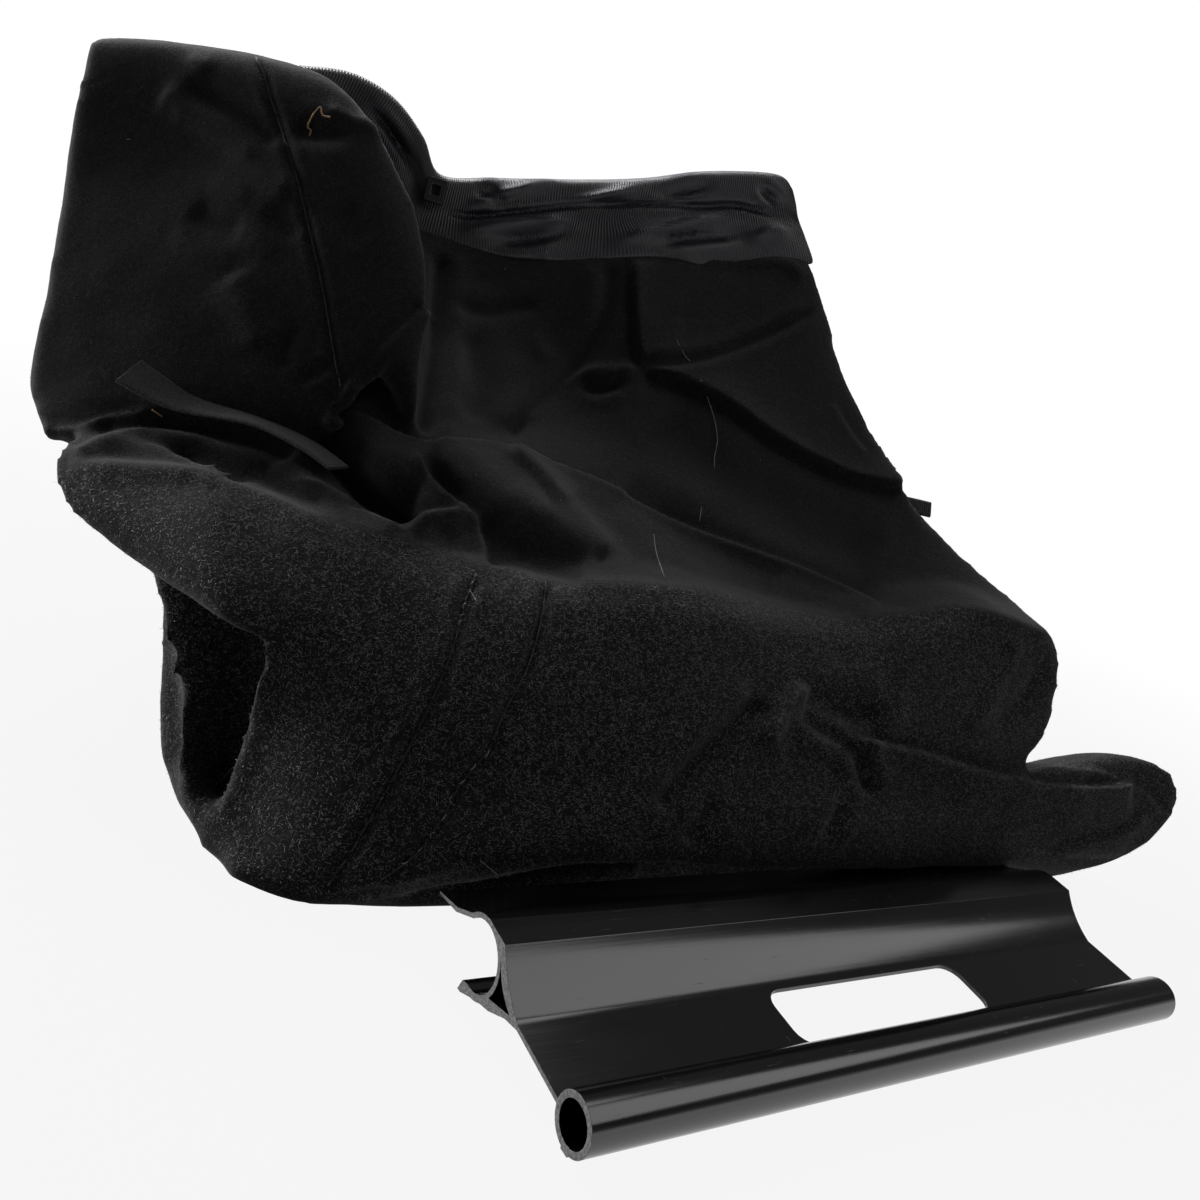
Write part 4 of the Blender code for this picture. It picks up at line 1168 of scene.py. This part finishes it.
seam_a = under_picture(smooth_line(SEAM_A, 8))
seam_b = under_picture(smooth_line(SEAM_B, 8))
hood_seam = under_picture(smooth_line(HOOD_SEAM, 8))
COLLAR_TREE = tree_of(collar_skin)
COLLAR_SEAM_PX = ((432, 209), (470, 217), (520, 213), (580, 206), (640, 205), (700, 207), (745, 208), (795, 226))
collar_line = under_picture(smooth_line(COLLAR_SEAM_PX, 8), skin=COLLAR_TREE)
seam_paths = stitches(seam_a[:14], 1)
seam_paths += stitches(seam_b[len(seam_b) // 2:], 2, BAG_TREE, 0.0078, 0.0031, 0.0011, 0.0010)
collar_paths = stitches(collar_line, 3, COLLAR_TREE, 0.0034, 0.0022, 0.0003, 0.0001)
# painted shade: a near-black tube along each seam line
seam_shade_paths = [evenly(line, 0.002) for line in (seam_a, seam_b, hood_seam)]
SEAM_THREAD_RADIUS, COLLAR_THREAD_RADIUS, SEAM_SHADE_RADIUS = 0.00022, 0.00009, 0.00055
wires("seam_stitches", seam_paths, SEAM_THREAD_RADIUS, THREAD, "black_felt")
wires("collar_stitches", collar_paths, COLLAR_THREAD_RADIUS, THREAD, "black_knit")
wires("seam_shade_tubes", seam_shade_paths, SEAM_SHADE_RADIUS, SEAM_SHADE, "black_felt")
print("stitches:", len(seam_paths), "in the felt and", len(collar_paths), "in the collar")

# %% Lint on the cloth
TAN_RADIUS, HAIR_RADIUS, SPECK_RADIUS = 0.00045, 0.00016, 0.00014
HAIR_LIFT, SPECK_START_LIFT, SPECK_END_LIFT = 0.0007, 0.0003, 0.0006
SPECK_LENGTHS = (0.0008, 0.0022)
tan_lines = (
    under_picture(((310, 138), (312, 131), (309, 127), (311, 121), (315, 114), (321, 109), (324, 116), (331, 117)),
                  0.0014),
    under_picture(((309, 127), (309, 122)), 0.0010),
    under_picture(((153, 410), (158, 413), (163, 416)), 0.0008))
hairs_px = (((676, 340), (684, 355), (690, 362)),
            ((700, 380), (708, 398), (714, 420), (717, 440), (714, 458), (714, 468)),
            ((701, 508), (699, 522)), ((653, 535), (656, 555), (664, 578)), ((470, 590), (476, 602)),
            ((222, 780), (232, 768)), ((480, 860), (498, 874)))
pale_lines = [under_picture(line, HAIR_LIFT) for line in hairs_px]
wires("lint_tan", [smooth_line(line, 5) for line in tan_lines], TAN_RADIUS, TAN_LINT, "black_felt")
wires("lint_pale", [smooth_line(line, 6) for line in pale_lines], HAIR_RADIUS, PALE_LINT, "black_felt")
rng = np.random.default_rng(7)
specks = []
for spot in under_picture(((247, 592), (467, 693), (390, 730), (620, 700), (560, 810), (482, 824), (505, 268),
                           (760, 460), (560, 500), (476, 476), (300, 770), (880, 810), (1150, 810), (700, 660),
                           (380, 800), (345, 640), (1040, 820), (180, 520), (130, 140), (620, 540))):
    first = spot + Vector((0, 0, SPECK_START_LIFT))
    turn = Vector(rng.normal(size=3)).normalized() * rng.uniform(*SPECK_LENGTHS)
    second = nearest_on(BAG_TREE, first + turn, SPECK_END_LIFT)
    specks.append([first, first.lerp(second, 0.5), second])
wires("lint_specks", specks, SPECK_RADIUS, PALE_LINT, "black_felt")
print("lint laid on the felt")

# %% [markdown]
# ## Floor and light
#
# The world and the floor look white to the camera. A reflection sees white only low down, and above that a
# dark room, so that glossy plastic stays black on top. The world itself lights the cloth very little. The
# floor is a touch darker near the bag, where it keeps the shadow, and turns fully white further out.

# %% White surroundings
WORLD_LIGHT = 0.04
WALL_START, WALL_END = 0.02, 0.22
DARK_ROOM = 0.05
world = bpy.data.worlds.new("studio")
scene.world = world
world.use_nodes = True
sky = Nodes(world.node_tree)
way_out = sky.node("ShaderNodeTexCoord", output="Generated")
wall = sky.node("ShaderNodeSeparateXYZ", {}, {"Vector": way_out}, "Z").between(WALL_START, WALL_END, 1.0, DARK_ROOM)
seen_wall = sky.seen() * (1 - WORLD_LIGHT) * wall
background = sky.tree.nodes["Background"]
sky.feed(background.inputs["Color"], (1, 1, 1, 1))
sky.feed(background.inputs["Strength"], seen_wall.highest(sky.ray("Camera")) + WORLD_LIGHT)

FLOOR_HALF = 6.0
FLOOR_DROP = 0.0002
SHADED_RADIUS, WHITE_RADIUS = 0.35, 1.30
SHADED_WHITE = 0.90
floor_mesh = bpy.data.meshes.new("floor")
corners = ((-1, -1), (1, -1), (1, 1), (-1, 1))
floor_mesh.from_pydata([(x * FLOOR_HALF, y * FLOOR_HALF, -FLOOR_DROP) for x, y in corners], [], [(0, 1, 2, 3)])
floor = bpy.data.objects.new("floor", floor_mesh)
scene.collection.objects.link(floor)
paper = Finish("white_paper", Base_Color=grey(0.28), Roughness=0.9, Specular_IOR_Level=0.0)
floor_place = paper.node("ShaderNodeTexCoord", output="Object")
distance = paper.node("ShaderNodeVectorMath", {"operation": "LENGTH"}, {0: floor_place}, "Value")
white_share = paper.seen() * distance.between(SHADED_RADIUS, WHITE_RADIUS, SHADED_WHITE)
glow = paper.node("ShaderNodeEmission")
plain = Socket(paper, paper.shader.outputs[0])
both_looks = paper.node("ShaderNodeMixShader", {}, {0: white_share, 1: plain, 2: glow})
paper.feed(paper.tree.nodes["Material Output"].inputs["Surface"], both_looks)
floor_mesh.materials.append(paper.material)
print("floor and world ready")

# %% [markdown]
# Two lamps stand behind the left and the right edge of the bag, one behind and above it and one over it, so
# that light grazes the folds. The card lights no cloth and shows only as a shine on the glossy plastic.


# %% Lamps
def soft_lamp(name, place, width, power):
    lamp = bpy.data.objects.new(name, bpy.data.lights.new(name, "AREA"))
    scene.collection.objects.link(lamp)
    lamp.data.shape = "SQUARE"
    lamp.data.size = width
    lamp.data.energy = power
    lamp.location = place
    lamp.rotation_euler = (LAMP_TARGET - Vector(place)).to_track_quat("-Z", "Y").to_euler()
    return lamp


LAMP_TARGET = Vector((0, 0.05, 0.12))
soft_lamp("left_edge", (-1.38, 1.43, 0.54), 0.8, 34)
soft_lamp("right_edge", (1.38, 1.43, 0.54), 0.8, 7)
soft_lamp("back", (-0.25, 1.55, 1.60), 0.8, 30)
soft_lamp("over", (0.55, 0.30, 1.95), 1.0, 6)
card = soft_lamp("card", (1.02, -0.95, 1.50), 1.4, 9)
card.visible_diffuse = False
print("lamps placed")
